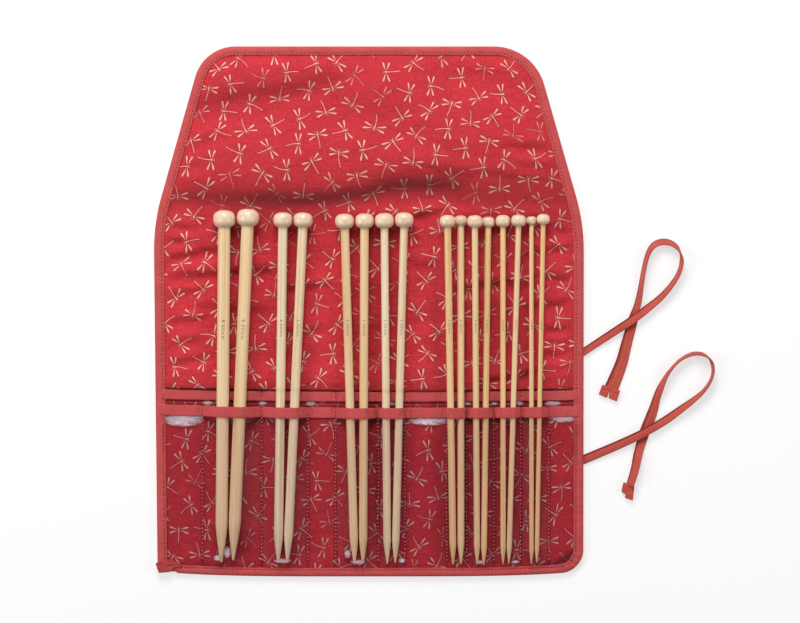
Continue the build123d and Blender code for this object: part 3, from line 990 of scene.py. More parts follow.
# Folds of the lining: from x, y to x, y, how high it swells above the line and how far away
liningFolds = [
    (-122, 131, -8, 157, 0.8, 11.0), (-30, 140, 56, 110, 0.5, 11.0), (44, 166, 112, 144, 0.65, 8.5),
    (84, 112, 132, 103, 0.6, 3.4), (90, 97, 136, 91, 0.6, 3.4), (62, 90, 134, 83, 0.5, 4.0),
    (-126, 107, -92, 116, 0.5, 3.6), (-133, 92, -106, 97, 0.5, 3.4), (30, 96, 70, 88, 0.5, 4.0),
    (-134, 47, -96, 43, 0.9, 3.0), (-134, 34, -92, 41, 1.3, 3.2), (-134, 23, -56, 28, 1.15, 3.6),
    (-118, 4, -56, 1, 0.5, 3.4), (-134, 11, -102, 17, 0.8, 2.8), (-134, -8, -104, -4, 0.6, 2.8),
    (-134, -21, -108, -19, 0.55, 2.6), (-134, -33, -104, -30, 0.6, 3.0),
    (-134, 58, -110, 52, 0.7, 2.8),
    (100, 36, 136, 43, 0.8, 2.8), (48, 14, 112, 20, 0.9, 3.4), (70, -45, 114, -36, 1.3, 3.4),
    (108, 25, 136, 20, 0.7, 2.6), (106, 3, 136, 8, 0.7, 2.8), (110, -12, 136, -9, 0.6, 2.6),
    (108, -29, 136, -23, 0.7, 2.8), (18, 59, 54, 66, 0.8, 3.0), (110, 57, 136, 52, 0.7, 2.8),
    (112, -21, 137, -18, 0.7, 2.0), (112, -37, 137, -34, 0.8, 2.2), (110, -44, 137, -43, 0.6, 2.0),
    (-60, 14, -20, 18, 0.5, 3.0), (-62, -14, -24, -10, 0.4, 3.4), (18, 34, 50, 30, 0.4, 3.4),
]

# How far the lining swells, in millimetres
liningSwell = {
    "flap": 1.5,
    "flapWaves": 1.25,
    "flapPuffs": 0.7,
    "valley": (69.5, 4.0, 0.42),  # y, width, depth
    "valleyRise": 8.5,
    "body": 0.75,
    "bodyWaves": (0.35, 0.5),
    "tucks": 1.6,
    "bodyPuffs": 0.5,
    "ridge": (0.75, 1.35),
    "fine": (0.16, 0.06),
    "lowest": -0.42,
    "highest": 2.5,
    # shallower at the creases, so that the wadding stays covered when they bend
    "creaseRise": 0.2,
    "creaseWidth": 3.5,
}


def foldsAt(x, y):
    wavy = y + 1.6 * ripple(x, y, 24, 21.0)
    total = 0.0 * x
    for startX, startY, endX, endY, height, width in liningFolds:
        share = (x - startX) / (endX - startX)
        off = (wavy - startY - (endY - startY) * share) / width
        ends = ramp(share, -0.12, 0.3) * (1 - ramp(share, 0.62, 1.12))
        total = total + 2.2 * height * off * np.exp((1 - off * off) / 2) * ends
    return total


def liningRise(x, y):
    # how far the lining stands above or below its flat height
    swell = liningSwell
    left, right = sideEdges(y)
    inside = np.minimum(np.minimum(x - left, right - x) - layerShape["bindingWidth"], 165.5 - y)
    inside = np.clip(inside, 0, None)
    # the flap swells up from a valley that runs a little higher in the middle
    valley = 72.0 + swell["valleyRise"] * ramp(x, -45, 40)
    flap = ramp(y, valley, valley + 17) * (1 - np.exp(-inside / 9))
    rise = swell["flap"] * flap * (0.9 + 0.25 * ripple(x, y, 70, 1.5))
    rise += swell["flapWaves"] * ripple(x * 0.5, y * 1.3, 30, 8.2) * flap
    rise += swell["flapPuffs"] * puffs(x * 0.6, y * 1.2, 22, 3.3) * flap
    middle, width, depth = swell["valley"]
    rise -= depth * bell(y, middle, width) * (0.9 + 0.3 * ripple(x, y, 40, 5.0))
    # the body is waved, with tucks that run in from its sides
    body = (1 - ramp(y, 62, 71)) * (1 - np.exp(-inside / 4))
    wide, fine = swell["bodyWaves"]
    waves = wide * ripple(x, y * 1.5, 55, 3.1) + fine * ripple(x * 0.6, y * 1.7, 22, 1.9)
    rise += body * (swell["body"] + waves)
    tucks = puffs(x * 0.28, y * 1.1, 13, 2.7) * np.exp(-inside / 24) * ramp(y, -55, -35)
    rise += swell["tucks"] * tucks * body
    rise += swell["bodyPuffs"] * puffs(x * 0.5, y, 17, 11.4) * body
    rise += foldsAt(x, y) * (1 - np.exp(-inside / 3))
    # it stands up in a ridge along the upper band and drops steeply behind it
    above = y - bandTop(x)
    steep, gentle = swell["ridge"]
    ridge = steep * ramp(above, 0.1, 1.3) + gentle * ramp(above, 0.8, 9)
    rise += ridge * (1 - ramp(above, 11, 22)) * (0.85 + 0.4 * ripple(x * 1.6, y, 15, 6.6))
    coarse, fine = swell["fine"]
    rise += coarse * ripple(x, y, 9, 4.4) + fine * ripple(x, y, 4, 7.7)
    held = 1 - ramp(above, -0.7, 0.5)  # flat under the pockets
    rise = rise * (1 - 0.85 * held) - 0.15 * held
    rise = np.minimum(rise, swell["highest"] - 2.48 * held)
    lowest = swell["lowest"]
    for crease in creaseLines:
        lowest += swell["creaseRise"] * bell(y, crease, swell["creaseWidth"])
    rise = np.clip(rise, lowest, swell["highest"]) * (1 - np.exp(-inside / 2.6))
    return np.minimum(rise, roomUnderNeedles(x, y))


def layerRows(low, high):
    # y values, closer together where the cloth bends at a crease and along the upper band
    rows = list(np.arange(low, high, layerShape["row"])) + [high]
    fine = [(crease - 2.3, crease + 2.3, 0.5) for crease in creaseLines] + [(-53.6, -47.6, 0.4)]
    for start, end, step in fine:
        rows = [y for y in rows if not start - 0.2 < y < end + 0.2 or y in (low, high)]
        rows += [y for y in np.arange(start, end, step) if low < y < high]
    return sorted(rows)


def makeSlab(name, rows, inset, columns, top, under, material, slot):
    # a thin closed slab of cloth; top gives its height along a row, and under its underside
    rings, cuts = [], []
    for y in rows:
        left, right = sideEdges(y)
        x = np.linspace(left + inset, right - inset, columns)
        spots = np.stack([x, np.full(columns, y)], 1)
        above = top(x, y)
        upper, lower = (np.column_stack([spots, z]) for z in (above, under(x, y, above)))
        rings.append(np.concatenate([upper, lower[::-1]]))
        cuts.append(np.concatenate([spots, spots[::-1], spots[:1]]))
    return loft(name, rings, cuts, material)


def flatArea(low, high):
    ys = np.linspace(low, high, 200)
    left, right = sideEdges(ys)
    widths = right - left - 2 * layerShape["inset"]
    return float(np.mean(widths)) * (high - low) * mm * mm


def bendAt(piece):
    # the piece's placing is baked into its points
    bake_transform(piece)


# Lining and outer cover: each in two pieces that meet midway between the creases
meeting = caseOutline["middleCrease"]
layerSpans = {"Body": (pocketShape["bottom"], meeting), "Flap": (meeting, 170.4)}


def liningTop(x, y):
    return layerShape["liningTop"] + liningRise(x, y)


def liningUnder(x, y, top):
    return np.minimum(layerShape["liningUnder"], top - layerShape["liningLeast"])


def coverTop(x, y):
    return np.full_like(x, layerShape["coverTop"])


def coverUnder(x, y, top):
    # stitched through at the edge, the cover lies flat with faint quilted dips
    return 0.12 + 0.1 * ripple(x, y * 0.7, 28, 9.1)


layerKinds = {
    # points across, heights of the upper and the lower side, material and slot
    "lining": (150, liningTop, liningUnder, printedCotton, "printed_cotton"),
    "cover": (60, coverTop, coverUnder, coverCotton, "outer_cotton"),
}
layers = {}
for end, span in layerSpans.items():
    for kind, facts in layerKinds.items():
        layers[kind + end] = makeSlab(kind + end, layerRows(*span), layerShape["inset"], *facts)
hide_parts("lining_body", "lining_fold")
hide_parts("lining_flap")
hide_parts("outer_cover_body", "outer_cover_fold")
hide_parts("outer_cover_flap")
for node in ("interlining_body", "interlining_fold", "interlining_flap"):
    frame["nodes"][node].data.materials.clear()
    frame["nodes"][node].data.materials.append(wadding)
print("lining and cover made")


# Binding: a bias strip folded over the edge all round
bindingShape = {
    # inward from the edge and up: under the cover, round the edge and over the lining
    "outside": [
        (5.7, 0.02), (3.2, 0), (1.0, 0), (0.3, 0.25), (0, 0.9), (0, 2.2), (0.3, 3.05), (1.0, 3.5),
        (2.2, 3.62), (3.3, 3.55), (4.05, 3.44), (4.45, 3.22), (4.9, 3.42), (5.6, 3.36), (5.9, 2.98),
    ],
    "inside": [
        (5.6, 2.7), (4.5, 2.65), (3.5, 2.62), (2.5, 2.6), (1.7, 2.6), (1.2, 2.5), (1.1, 2.0),
        (1.1, 1.2), (1.2, 0.8), (1.7, 0.6), (2.4, 0.5), (3.0, 0.46), (3.9, 0.44), (4.8, 0.42),
        (5.6, 0.4),
    ],
    "stitchLine": 4.45,
    "stitchHeight": 3.3,
    "wide": {"top": 0.97, "foot": 0.96, "sides": 1.1},
    "foot": -169.2,
    "corner": -137.3,
    "sway": 0.22,
    "pucker": 0.09,
    "gathered": (133, -163, 11, 13.0),  # round the lower right corner: x, y, width, how much
}


def inwardFrom(line):
    # unit vectors from the outline towards the middle of the case
    way = np.gradient(line, axis=0)
    way /= np.linalg.norm(way, axis=1)[:, None]
    return np.stack([-way[:, 1], way[:, 0]], 1)


def setIn(line, inward, distance, gone):
    # the outline moved inwards, mitred at the square corner
    sway = bindingShape["sway"] * wobble(gone, 26, 1.0, distance / 9)
    wide, corner, foot = (bindingShape[key] for key in ("wide", "corner", "foot"))
    share = np.where(inward[:, 1] > 0.5, wide["foot"], wide["top"])
    share = share + (wide["sides"] - share) * np.abs(inward[:, 0])
    reach = distance * (share if distance > 1.5 else 1.0) + sway * min(1, distance)
    spots = line + inward * reach[:, None]
    near = (line[:, 0] < corner + 12) & (line[:, 1] < foot + 12)
    spots[near] = np.maximum(spots[near], (corner + distance, foot + distance * wide["foot"]))
    return spots


def makeBinding(name, lower):
    line, gone = halfOutline(lower)
    inward = inwardFrom(line)
    section = np.array(bindingShape["outside"] + bindingShape["inside"])
    top, around = len(bindingShape["outside"]), lengthAlong(section)
    middleX, middleY, width, strength = bindingShape["gathered"]
    gathered = np.exp(-(np.hypot(line[:, 0] - middleX, line[:, 1] - middleY) / width) ** 2)
    pucker = wobble(gone, 3.6, 4.0) + 0.6 * wobble(gone, 17, 9.0)
    pucker = pucker + strength * gathered * wobble(gone, 2.4, 12.0)
    rings = np.zeros((len(line), len(section), 3))
    cuts = np.zeros((len(line), len(section) + 1, 2))
    for j, (distance, height) in enumerate(section):
        rings[:, j, :2] = setIn(line, inward, distance, gone)
        lift = bindingShape["pucker"] * pucker * (3 <= j < top) * min(1, height / 3)
        rings[:, j, 2] = height + lift * (height > 1)
        cuts[:, j] = np.stack([gone, np.full(len(gone), around[j])], 1)
    cuts[:, -1] = cuts[:, -2] + (0, 0.4)
    return loft(name, rings, cuts, bindingCotton), line, inward, gone


bindings = {end: makeBinding("binding" + end, end == "Body") for end in layerSpans}
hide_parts("binding_body", "binding_fold_left", "binding_fold_right")
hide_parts("binding_flap")


# Stitches: short threads that dip into the cloth at both ends
stitchShape = {
    "pitch": 2.4,
    "length": 1.1,
    "radius": 0.3,
    "sides": 6,
    # share of the length, share of the radius, sink
    "profile": [
        (0.0, 0.35, 0.3), (0.14, 0.85, 0.08), (0.5, 1.0, 0.0), (0.86, 0.85, 0.08), (1.0, 0.35, 0.3),
    ],
    "patch": (0.4, 0.3),  # the part of the cut that one face covers
}


def makeStitches(name, line, material, scale=1.0):
    # line: points in millimetres that the seam follows over the cloth
    line = np.array(line, float)
    gone, profile = lengthAlong(line), stitchShape["profile"]
    sides, rows, pitch = stitchShape["sides"], len(profile), stitchShape["pitch"]
    wide, tall = stitchShape["patch"]
    points, faces, places = [], [], []
    for start in np.arange(0.3, gone[-1] - pitch, pitch):
        first = len(points)
        low, high = (np.array([np.interp(start + shift, gone, line[:, k]) for k in range(3)])
                     for shift in (0, stitchShape["length"]))
        side, up = axesAround(Vector(high - low).normalized())
        for share, size, sink in profile:
            middle = Vector(low + (high - low) * share) - up * sink * scale
            middle += side * 0.12 * noise.noise((start / 3, 2.0, 5.0))
            for angle in np.arange(sides) * math.tau / sides:
                away = side * math.cos(angle) + up * math.sin(angle)
                points.append(middle + away * stitchShape["radius"] * size * scale)
        for i in range(rows - 1):
            for k in range(sides):
                n = (k + 1) % sides
                corners = [i * sides + k, i * sides + n, (i + 1) * sides + n, (i + 1) * sides + k]
                faces.append([first + corner for corner in corners])
                x, y = start + i * wide, k * tall
                places += [(x, y), (x, y + tall), (x + wide, y + tall), (x + wide, y)]
        for ring in (range(sides - 1, -1, -1), range((rows - 1) * sides, rows * sides)):
            faces.append([first + corner for corner in ring])
            places += [(start, tall)] * sides
    return makeObject(name, makeMesh(name, np.array(points), faces, places), material)


stitches = {}
for end, (piece, line, inward, gone) in bindings.items():
    seam = setIn(line, inward, bindingShape["stitchLine"], gone)
    seam = np.column_stack([seam, np.full(len(seam), bindingShape["stitchHeight"])])
    stitches[end] = makeStitches("bindingStitches" + end, seam[2:-2], darkThread, 1.2)
print("binding made")


# Clear pockets: heights over the needles
filmShape = {
    "columns": 230,
    "inset": 2.2,
    "thickness": 0.25,
    "over": 0.35,  # between the needles and the middle of the film
    "tipReach": 6,  # how far past a tip the film is still lifted
    "looseBulge": 1.5,  # of the pockets that hold no needle
    "looseAt": (-80.0, 10.0),
    "waves": 0.1,
    "backHeight": 2.9,
    "frontTop": -63.0,
    "backTop": -55.0,
}


def channels(y):
    # the left and right x of every pocket at y
    left, right = sideEdges(y)
    edges = [left + layerShape["inset"], *pocketSeams, right - layerShape["inset"]]
    return list(zip(edges[:-1], edges[1:]))


def needleHull(y):
    # the line that a taut film takes over the needles in each pocket at y
    flat, reach, lifted = pocketShape["seamHeight"], needleSizes["reach"], filmShape["tipReach"]
    hull = []
    for low, high in channels(y):
        points = [(low, flat), (high, flat)]
        for needle in needles:
            centre = needle.at(y)
            gone = (needle.start - centre).length
            if not low < centre.x < high or gone - reach > lifted:
                continue
            radius = float(needle.radiusAt(min(gone, reach))) + filmShape["over"]
            fade = 1 - float(ramp(gone - reach, -1.0, lifted))
            for angle in np.linspace(0.15, math.pi - 0.15, 15):
                height = centre.z + radius * math.sin(angle)
                point = (centre.x + radius * math.cos(angle), flat + (height - flat) * fade)
                points.append(point)
        upper = []
        for p in sorted(p for p in points if low <= p[0] <= high):
            while len(upper) > 1:
                (ax, az), (bx, bz) = upper[-2:]
                if (bx - ax) * (p[1] - az) - (bz - az) * (p[0] - ax) < 0:
                    break
                upper.pop()
            upper.append(p)
        hull += upper
    return np.array(hull)


filmHulls = {}


def filmHeight(x, y):
    # x: many, y: one
    if y not in filmHulls:
        filmHulls[y] = needleHull(y)
    hull = filmHulls[y]
    return np.interp(x, hull[:, 0], hull[:, 1])


def looseness(x, y):
    # empty pockets stand open a little below the band, and every pocket has faint waves
    middle, width = filmShape["looseAt"]
    loose = filmShape["looseBulge"] * (0.2 + bell(y, middle, width)) * ramp(-y, 70, 75)
    rise = 0.0 * x
    for k, (low, high) in enumerate(channels(y)):
        arch = np.sin(math.pi * np.clip((x - low) / (high - low), 0, 1)) ** 0.8
        empty = not any(low < needle.at(-100).x < high for needle in needles)
        size = loose if empty else filmShape["waves"]
        rise = rise + arch * size * (1 + 0.5 * ripple(x, y, 15, 3.0 + k))
    return rise


def frontHeight(x, y):
    return filmHeight(x, y) + looseness(x, y)


def backHeight(x, y):
    near = np.min(np.abs(x[:, None] - np.array(pocketShape["backSeams"])), axis=1)
    wave = 0.10 * ripple(x, y, 14, 12.0) * (1 - np.exp(-near / 4))
    return filmShape["backHeight"] + np.clip(wave, -0.08, 0.05)


def filmUnder(x, y, top):
    return top - filmShape["thickness"]


def makeFilm(name, high, height, step):
    rows = np.append(np.arange(pocketShape["bottom"], high, step), high)
    inset, columns = filmShape["inset"], filmShape["columns"]
    return makeSlab(name, rows, inset, columns, height, filmUnder, clearVinyl, "clear_vinyl")


frontVinyl = makeFilm("frontVinyl", filmShape["frontTop"], frontHeight, 1.6)
backVinyl = makeFilm("backVinyl", filmShape["backTop"], backHeight, 3.0)
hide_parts("front_pocket")
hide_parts("back_pocket")
print("clear pockets made")


# Bands along the pocket mouths
bandShape = {
    # the upper side across in half widths and up in half thicknesses; the lower side mirrors it
    "section": [
        (-1, 0.35), (-0.93, 0.8), (-0.8, 1), (-0.45, 1), (0, 0.92), (0.45, 1), (0.8, 1),
        (0.93, 0.8), (1, 0.35),
    ],
    "half": 0.46,
    "width": {"upper": 6.4, "lower": 7.0},
    "upperHeight": 3.1,
    "overFilm": 0.12,
    "step": 0.45,
    "pinch": 1.7,
    "curl": 0.16,
    # pleats beside each seam: how far they run out over the width, how wide and how deep they are
    "pleats": [(2.2, 0.6, 0.9), (-1.6, 0.5, 0.6)],
}


def bandHeight(x, which):
    if which == "upper":
        return bandShape["upperHeight"] + 0.0 * x
    rows = [round(float(bandLine(spot, which)), 1) for spot in x]
    middle = np.array([filmHeight(np.array([spot]), y)[0] for spot, y in zip(x, rows)])
    return middle + bandShape["overFilm"]


def pleatDepth(x, across, seams):
    # how deep the pleats are at x and that far across the band; no two seams are pleated alike
    deep = 0.0
    for seam in seams:
        off = abs(x - seam)
        for reach, wide, depth in bandShape["pleats"]:
            strength = abs(noise.noise((seam * 0.7, reach, 4.0))) * 2.0 % 1.0
            spread = off - 0.9 - abs(reach) * (1 - math.copysign(across, reach)) / 2 * 1.6
            size = depth * (0.4 + 0.6 * strength) * (off < 6)
            deep += size * math.exp(-(spread / wide) ** 2)
    return deep


def makeBand(name, which, seams):
    left, right = sideEdges(bandLine(0.0, which))
    x = np.arange(left + 3, right - 3, bandShape["step"])
    y, z = bandLine(x, which), bandHeight(x, which)
    pinch = sum(bell(x, seam, bandShape["pinch"]) for seam in seams)
    ways = np.stack([np.ones(len(x)), np.gradient(y, x), np.gradient(z, x)], 1)
    places = np.array(bandShape["section"] + turnedOver(bandShape["section"]))
    width = bandShape["width"][which]
    around = np.linspace(0, 2 * width + 2, len(places) + 1)
    gone = lengthAlong(np.stack([x, z], 1))
    middles = np.stack([x, y, z + 0.06 * wobble(x, 5, 1.0)], 1)
    rings, cuts = [], []
    for i, way in enumerate(ways):
        side, up = axesAround(Vector(way).normalized())
        ring = []
        for across, height in places:
            curl = bandShape["curl"] * noise.noise((x[i] / 6, 5.0 * across, 2.0)) * across ** 2
            tuck = -0.2 * pinch[i] * (1 - abs(across)) - pleatDepth(x[i], across, seams)
            thick = bandShape["half"] * height * (1 - 0.25 * pinch[i])
            thick += max(0, height) * tuck * 0.7 + 0.3 * curl
            out = across * width * (1 - 0.04 * pinch[i]) / 2 + curl
            ring.append(Vector(middles[i]) - side * out + up * thick)
        rings.append(ring)
        cuts.append([(gone[i], place) for place in around])
    return loft(name, rings, cuts, bindingCotton)


upperBand = makeBand("upperBand", "upper", pocketShape["backSeams"])
lowerBand = makeBand("lowerBand", "lower", pocketSeams)
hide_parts("back_pocket_tape")
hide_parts("front_pocket_tape")


def seamOverBand(seam, which, half, height):
    # four points across a band, where the seam of a pocket runs over it
    middle = bandLine(seam, which)
    line = [(seam, y, height) for y in np.linspace(middle + half, middle - half, 4)]
    return makeStitches("bandSeam", line, darkThread, 1.15)


# Seams that divide the pockets, in dark thread on the bands; on the film the same thread is drawn
# pale pink as a painted highlight
channelSeams, bandSeams = [], []
for seam in pocketSeams:
    sheetEnd = bandLine(seam, "lower") - bandShape["width"]["lower"] / 2
    y = np.arange(sheetEnd, pocketShape["bottom"] + 3, -1.0)
    z = np.full(len(y), pocketShape["seamHeight"] + 0.2)
    line = np.stack([seam + 0.3 * wobble(y, 30, seam), y, z], 1)
    channelSeams.append(makeStitches("channelSeam", line, paintedHighlightThread, 1.4))
    level = float(bandHeight(np.array([seam]), "lower")[0]) + 0.42
    bandSeams.append(seamOverBand(seam, "lower", 3.8, level))
    if seam in pocketShape["backSeams"]:
        bandSeams.append(seamOverBand(seam, "upper", 3.4, 3.5))
channelStitches = joined("channelStitches", channelSeams)
bandStitches = joined("bandStitches", bandSeams)
print("bands and seams made")


# Needles
headShape = {"squareness": 2.5, "tall": 0.81, "lower": 0.3}
shaftShape = {"steps": 12, "tipRings": [25, 50, 72, 88]}  # the rings of the tip in degrees


def turned(name, needle, profile, material):
    # a turned piece: profile gives how far along the needle and how thick
    side, up = axesAround(needle.way)
    sides, number = needleSizes["sides"], needle.number
    stretch = round(needle.tone / bambooTones["step"]) * bambooTones["apart"]
    angles = np.arange(sides + 1) * math.tau / sides + number
    rings, cuts = [], []
    for gone, radius in profile:
        middle = needle.start + needle.way * gone
        rings.append([
            middle + (side * math.cos(a) + up * math.sin(a)) * radius for a in angles[:-1]
        ])
        around = (angles - number) * needle.radius * 0.9 + number * 50
        cuts.append([(a, gone - 20 + stretch) for a in around])
    return loft(name, rings, cuts, material)


def makeShaft(needle):
    steps, last = shaftShape["steps"], float(needle.radiusAt(needle.nose))
    stops = [*np.linspace(2, needle.taperAt, steps),
             *np.linspace(needle.taperAt, needle.nose, steps)[1:]]
    profile = [(gone, float(needle.radiusAt(gone))) for gone in stops]
    for angle in np.radians(shaftShape["tipRings"]):
        profile.append((needle.nose + last * math.sin(angle), last * math.cos(angle) + 0.02))
    return turned("needleShaft" + needle.label, needle, profile, bamboo)


def makeHead(needle):
    # a squashed ball with a flat underside
    half = needle.head * headShape["tall"]
    power = 2 / headShape["squareness"]
    profile = []
    for angle in np.radians(np.linspace(-88, 88, 27)):
        along = math.copysign(abs(math.sin(angle)) ** power, angle) * half + headShape["lower"]
        out = needle.head * math.cos(angle) ** power
        if angle < 0 or out > needle.radius * 0.9:
            profile.append((along, out))
    profile.append((profile[-1][0] - 0.4, needle.radius * 0.85))
    return turned("needleHead" + needle.label, needle, profile, headWood)


printSizes = {
    "startAt": -5.5,
    "tall": {8.0: 2.3, 6.0: 2.0, 5.5: 1.9, 5.0: 1.8, 4.5: 1.6, 4.0: 1.5, 3.5: 1.35, 3.0: 1.2},
    "stretch": 1.35,
    "apart": 1.35,
    "lift": -0.02,  # its underside lies just inside the shaft
    "thick": 0.05,
    "longest": 0.35,
    "smallest": 0.0001,
    "steps": 2,
}


def makeSizePrint(needle):
    # the size in millimetres, printed lengthwise below the head
    label = bpy.data.curves.new("sizePrint", "FONT")
    label.body = f"{needle.size:.2f}mm"
    label.size = printSizes["tall"][needle.size] * printSizes["stretch"]
    label.space_character = printSizes["apart"]
    label.align_y = "CENTER"
    label.resolution_u = 2
    carrier = bpy.data.objects.new("sizePrint", label)
    mesh = bpy.data.meshes.new_from_object(carrier)
    bpy.data.objects.remove(carrier)
    shape = bmesh.new()
    shape.from_mesh(mesh)
    refine(shape, printSizes["longest"], printSizes["steps"])
    thin = [face for face in shape.faces if face.calc_area() < printSizes["smallest"]]
    bmesh.ops.delete(shape, geom=thin, context="FACES_ONLY")
    bmesh.ops.remove_doubles(shape, verts=shape.verts, dist=0.001)
    raised = extrude(shape)
    markCut(shape)
    side, up = axesAround(needle.way)
    for vertex in shape.verts:
        angle = vertex.co.y / needle.radius
        out = needle.radius + printSizes["lift"] + printSizes["thick"] * (vertex in raised)
        along = needle.start.y - printSizes["startAt"] + vertex.co.x
        away = side * -math.sin(angle) + up * math.cos(angle)
        vertex.co = (needle.start + needle.way * along + away * out) * mm
    saveShape(shape, mesh)
    mesh.materials.clear()
    return makeObject("sizePrint" + needle.label, mesh, sizeInk)


for needle in needles:
    shaft, head = makeShaft(needle), makeHead(needle)
    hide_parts("needle_shaft_" + needle.label)
    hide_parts("needle_head_" + needle.label)
    for piece in (shaft, head, makeSizePrint(needle)):
        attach(piece, needle.body)
print("needles made")


# Tabs at the ends of the ties, and the folded end of the binding at the left corner
padShape = {
    "endFold": [
        (-138.5, -163.9), (-133.7, -160.7), (-123.2, -163.0), (-121.0, -165.9), (-126.2, -166.5),
        (-129.4, -169.4), (-136.3, -170.0),
    ],
    "upperLeft": [(151.6, -47.8), (157.3, -49.2), (154.6, -56.5), (149.3, -54.1)],
    "upperRight": [(156.6, -50.0), (163.3, -51.5), (161.0, -58.8), (155.8, -56.7)],
    "lower": [
        (165.4, -111.2), (172.5, -113.8), (171.5, -123.2), (166.3, -121.4), (166.8, -119.5),
        (164.0, -117.2),
    ],
    "endFoldHeights": (3.35, 4.7),
    "tabHeights": (0.05, 2.6),
    "edge": 0.45,
    "cell": 0.7,
    "steps": 5,
    "swell": 0.25,
    "creaseDepth": 0.4,
    "creaseWidth": 0.5,
    # creases: from x, y to x, y
    "creases": [
        (-137.5, -165.0, -121.5, -165.6), (-137.0, -167.8, -126.5, -165.4),
        (-133.2, -161.5, -124.0, -164.9), (151.2, -51.0, 156.0, -52.0),
        (157.0, -53.2, 162.0, -54.4), (165.6, -118.0, 171.8, -117.0),
    ],
}


def creaseShare(spot):
    # how deep in the creases a spot of a pad lies
    total = 0.0
    for startX, startY, endX, endY in padShape["creases"]:
        start, reach = Vector((startX, startY)), Vector((endX - startX, endY - startY))
        share = min(1, max(0, (spot - start).dot(reach) / reach.length_squared))
        away = (spot - start - reach * share).length
        total += math.exp(-((away / padShape["creaseWidth"]) ** 2))
    return total


def makePad(name, outline, heights, material):
    # a small folded piece of tape with soft edges
    low, high = heights
    shape = bmesh.new()
    shape.faces.new([shape.verts.new((x, y, low)) for x, y in padShape[outline]])
    for vertex in extrude(shape):
        vertex.co.z = high
    bmesh.ops.bevel(shape, geom=shape.edges[:], offset=padShape["edge"], segments=3, profile=0.5,
                    affect="EDGES")
    bmesh.ops.remove_doubles(shape, verts=shape.verts, dist=0.01)
    refine(shape, padShape["cell"], padShape["steps"])
    bmesh.ops.dissolve_degenerate(shape, dist=0.01, edges=shape.edges)
    bmesh.ops.triangulate(shape, faces=shape.faces)
    markCut(shape)
    for vertex in shape.verts:
        x, y, z = vertex.co
        swell = padShape["swell"] * noise.noise((x / 2.6, y / 2.6, 3.0))
        swell -= padShape["creaseDepth"] * creaseShare(Vector((x, y)))
        vertex.co.z = max(low, z + swell * (z - low) / (high - low))
        vertex.co *= mm
    mesh = bpy.data.meshes.new(name)
    saveShape(shape, mesh)
    return makeObject(name, mesh, material)


def makeTab(name, outline):
    return makePad(name, outline, padShape["tabHeights"], tabCotton)


endFold = makePad("endFold", "endFold", padShape["endFoldHeights"], foldedCotton)
upperTabs = [makeTab("upperTab", "upperLeft"), makeTab("upperTabRight", "upperRight")]
upperTab = joined("upperTab", upperTabs)
lowerTab = makeTab("lowerTab", "lower")
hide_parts("binding_end_fold")
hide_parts("tie_upper_tab")
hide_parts("tie_lower_tab")
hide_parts("tie_upper")
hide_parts("tie_lower")
print("tabs and end fold made")


# What moves with what
casePieces = [
    tieLines["tieUpper"][0], tieLines["tieLower"][0], upperTab, lowerTab, endFold,
    frontVinyl, backVinyl, upperBand, lowerBand, channelStitches, bandStitches,
]
for piece in casePieces:
    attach(piece, "case")
for end, joint in (("Body", "lower_crease"), ("Flap", "upper_crease")):
    for piece in (layers["lining" + end], layers["cover" + end], bindings[end][0], stitches[end]):
        bendAt(piece)

# How large the cloth and the cords were cut; these sizes are worked out here and not used further
clothFacts = {"width": 0.279, "frontFilm": (0.300, 0.1042), "backFilm": (0.273, 0.1122)}
for end, span in layerSpans.items():
    flat, area = (clothFacts["width"], (span[1] - span[0]) * mm), flatArea(*span)
    padding = ["interlining_" + end.lower()]
    layers["lining" + end]
    layers["cover" + end]
cordFacts = {"tieUpper": (0.2168, upperTab), "tieLower": (0.2265, lowerTab)}
for name, (length, tab) in cordFacts.items():
    piece, line = tieLines[name]


# Floor, lamps and world
roomSetup = {
    "floor": {"width": 3.0, "steps": 12, "below": 0.0001, "tones": (0.9, 0.91), "glow": 1.12},
    "lamps": {
        "key": {"at": (-0.12, 0.95, 0.8), "size": 0.7, "power": 14.4, "tint": (1.0, 0.98, 0.96)},
        "left": {"at": (-1.2, -0.1, 0.82), "size": 0.6, "power": 8.1, "tint": (1.0, 0.99, 0.98)},
        "right": {"at": (1.25, -0.2, 0.82), "size": 0.6, "power": 6.6, "tint": (0.98, 0.99, 1.0)},
    },
    "world": 0.12,
    "glowShare": 0.55,
}


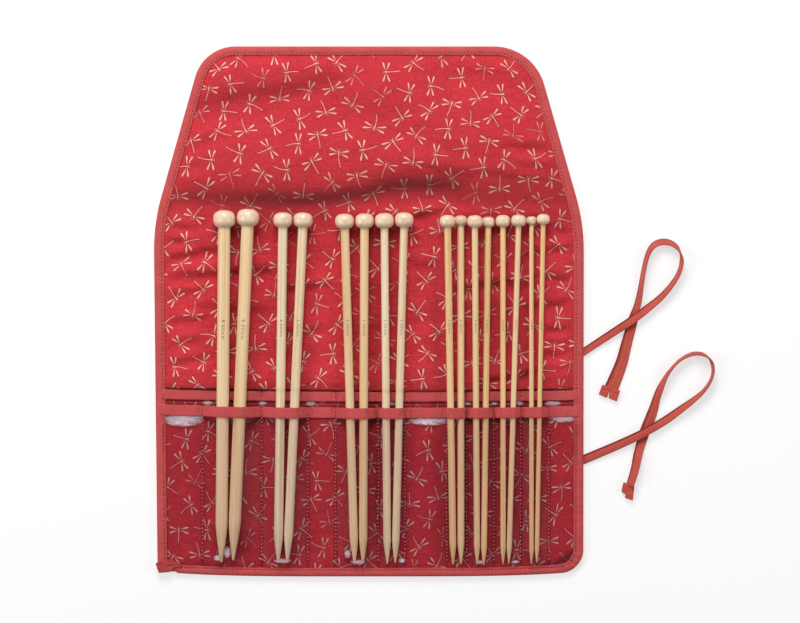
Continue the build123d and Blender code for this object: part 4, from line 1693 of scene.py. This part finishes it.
def seenBy(paint, *kinds):
    # 1 for rays of any of these kinds, 0 for all others
    rays = paint.add("ShaderNodeLightPath")
    seen = rays.output(kinds[0])
    for kind in kinds[1:]:
        seen = seen.larger(rays.output(kind))
    return seen


def makeFloor():
    setup = roomSetup["floor"]
    paint = Paint("paleFloor")
    dim, bright = ((tone, tone, tone, 1.0) for tone in setup["tones"])
    colour = paint.mix(paint.grain(6.0), dim, bright)
    plain = paint.add("ShaderNodeBsdfDiffuse", inputs={"Color": colour})
    glow = paint.add("ShaderNodeEmission", inputs={"Strength": setup["glow"]})
    seen = seenBy(paint, "Is Camera Ray", "Is Glossy Ray", "Is Transmission Ray")
    inputs = [seen * roomSetup["glowShare"], plain, glow]
    paint.finish(paint.add("ShaderNodeMixShader", inputs=inputs))
    half, count = setup["width"] / 2, setup["steps"]
    spots, row = np.linspace(-half, half, count + 1), count + 1
    points = [(x, y, -setup["below"]) for y in spots for x in spots]
    faces = [(i * row + j, i * row + j + 1, (i + 1) * row + j + 1, (i + 1) * row + j)
             for i in range(count) for j in range(count)]
    mesh = bpy.data.meshes.new("floor")
    mesh.from_pydata(points, [], faces)
    mesh.materials.append(paint.block)
    return addObject("floor", mesh)


def addLamp(name, lamp):
    data = bpy.data.lights.new(name, "AREA")
    data.shape = "DISK"
    data.size = lamp["size"]
    data.energy = lamp["power"]
    data.color = lamp["tint"]
    light = addObject(name, data)
    light.location = lamp["at"]
    light.rotation_euler = (-Vector(lamp["at"])).to_track_quat("-Z", "Y").to_euler()


def lightWorld():
    paint = Paint("studio", "worlds")
    seen = seenBy(paint, "Is Camera Ray", "Is Transmission Ray")
    strength = paint.add("ShaderNodeMix", inputs={0: seen, 2: roomSetup["world"], 3: 1.0})
    sky = paint.add("ShaderNodeBackground", inputs={"Strength": strength})
    bpy.context.scene.world = paint.finish(sky, "World")


makeFloor()
for name, lamp in roomSetup["lamps"].items():
    addLamp(name, lamp)
lightWorld()
bpy.context.scene.view_settings.view_transform = "Standard"
print("room lit")
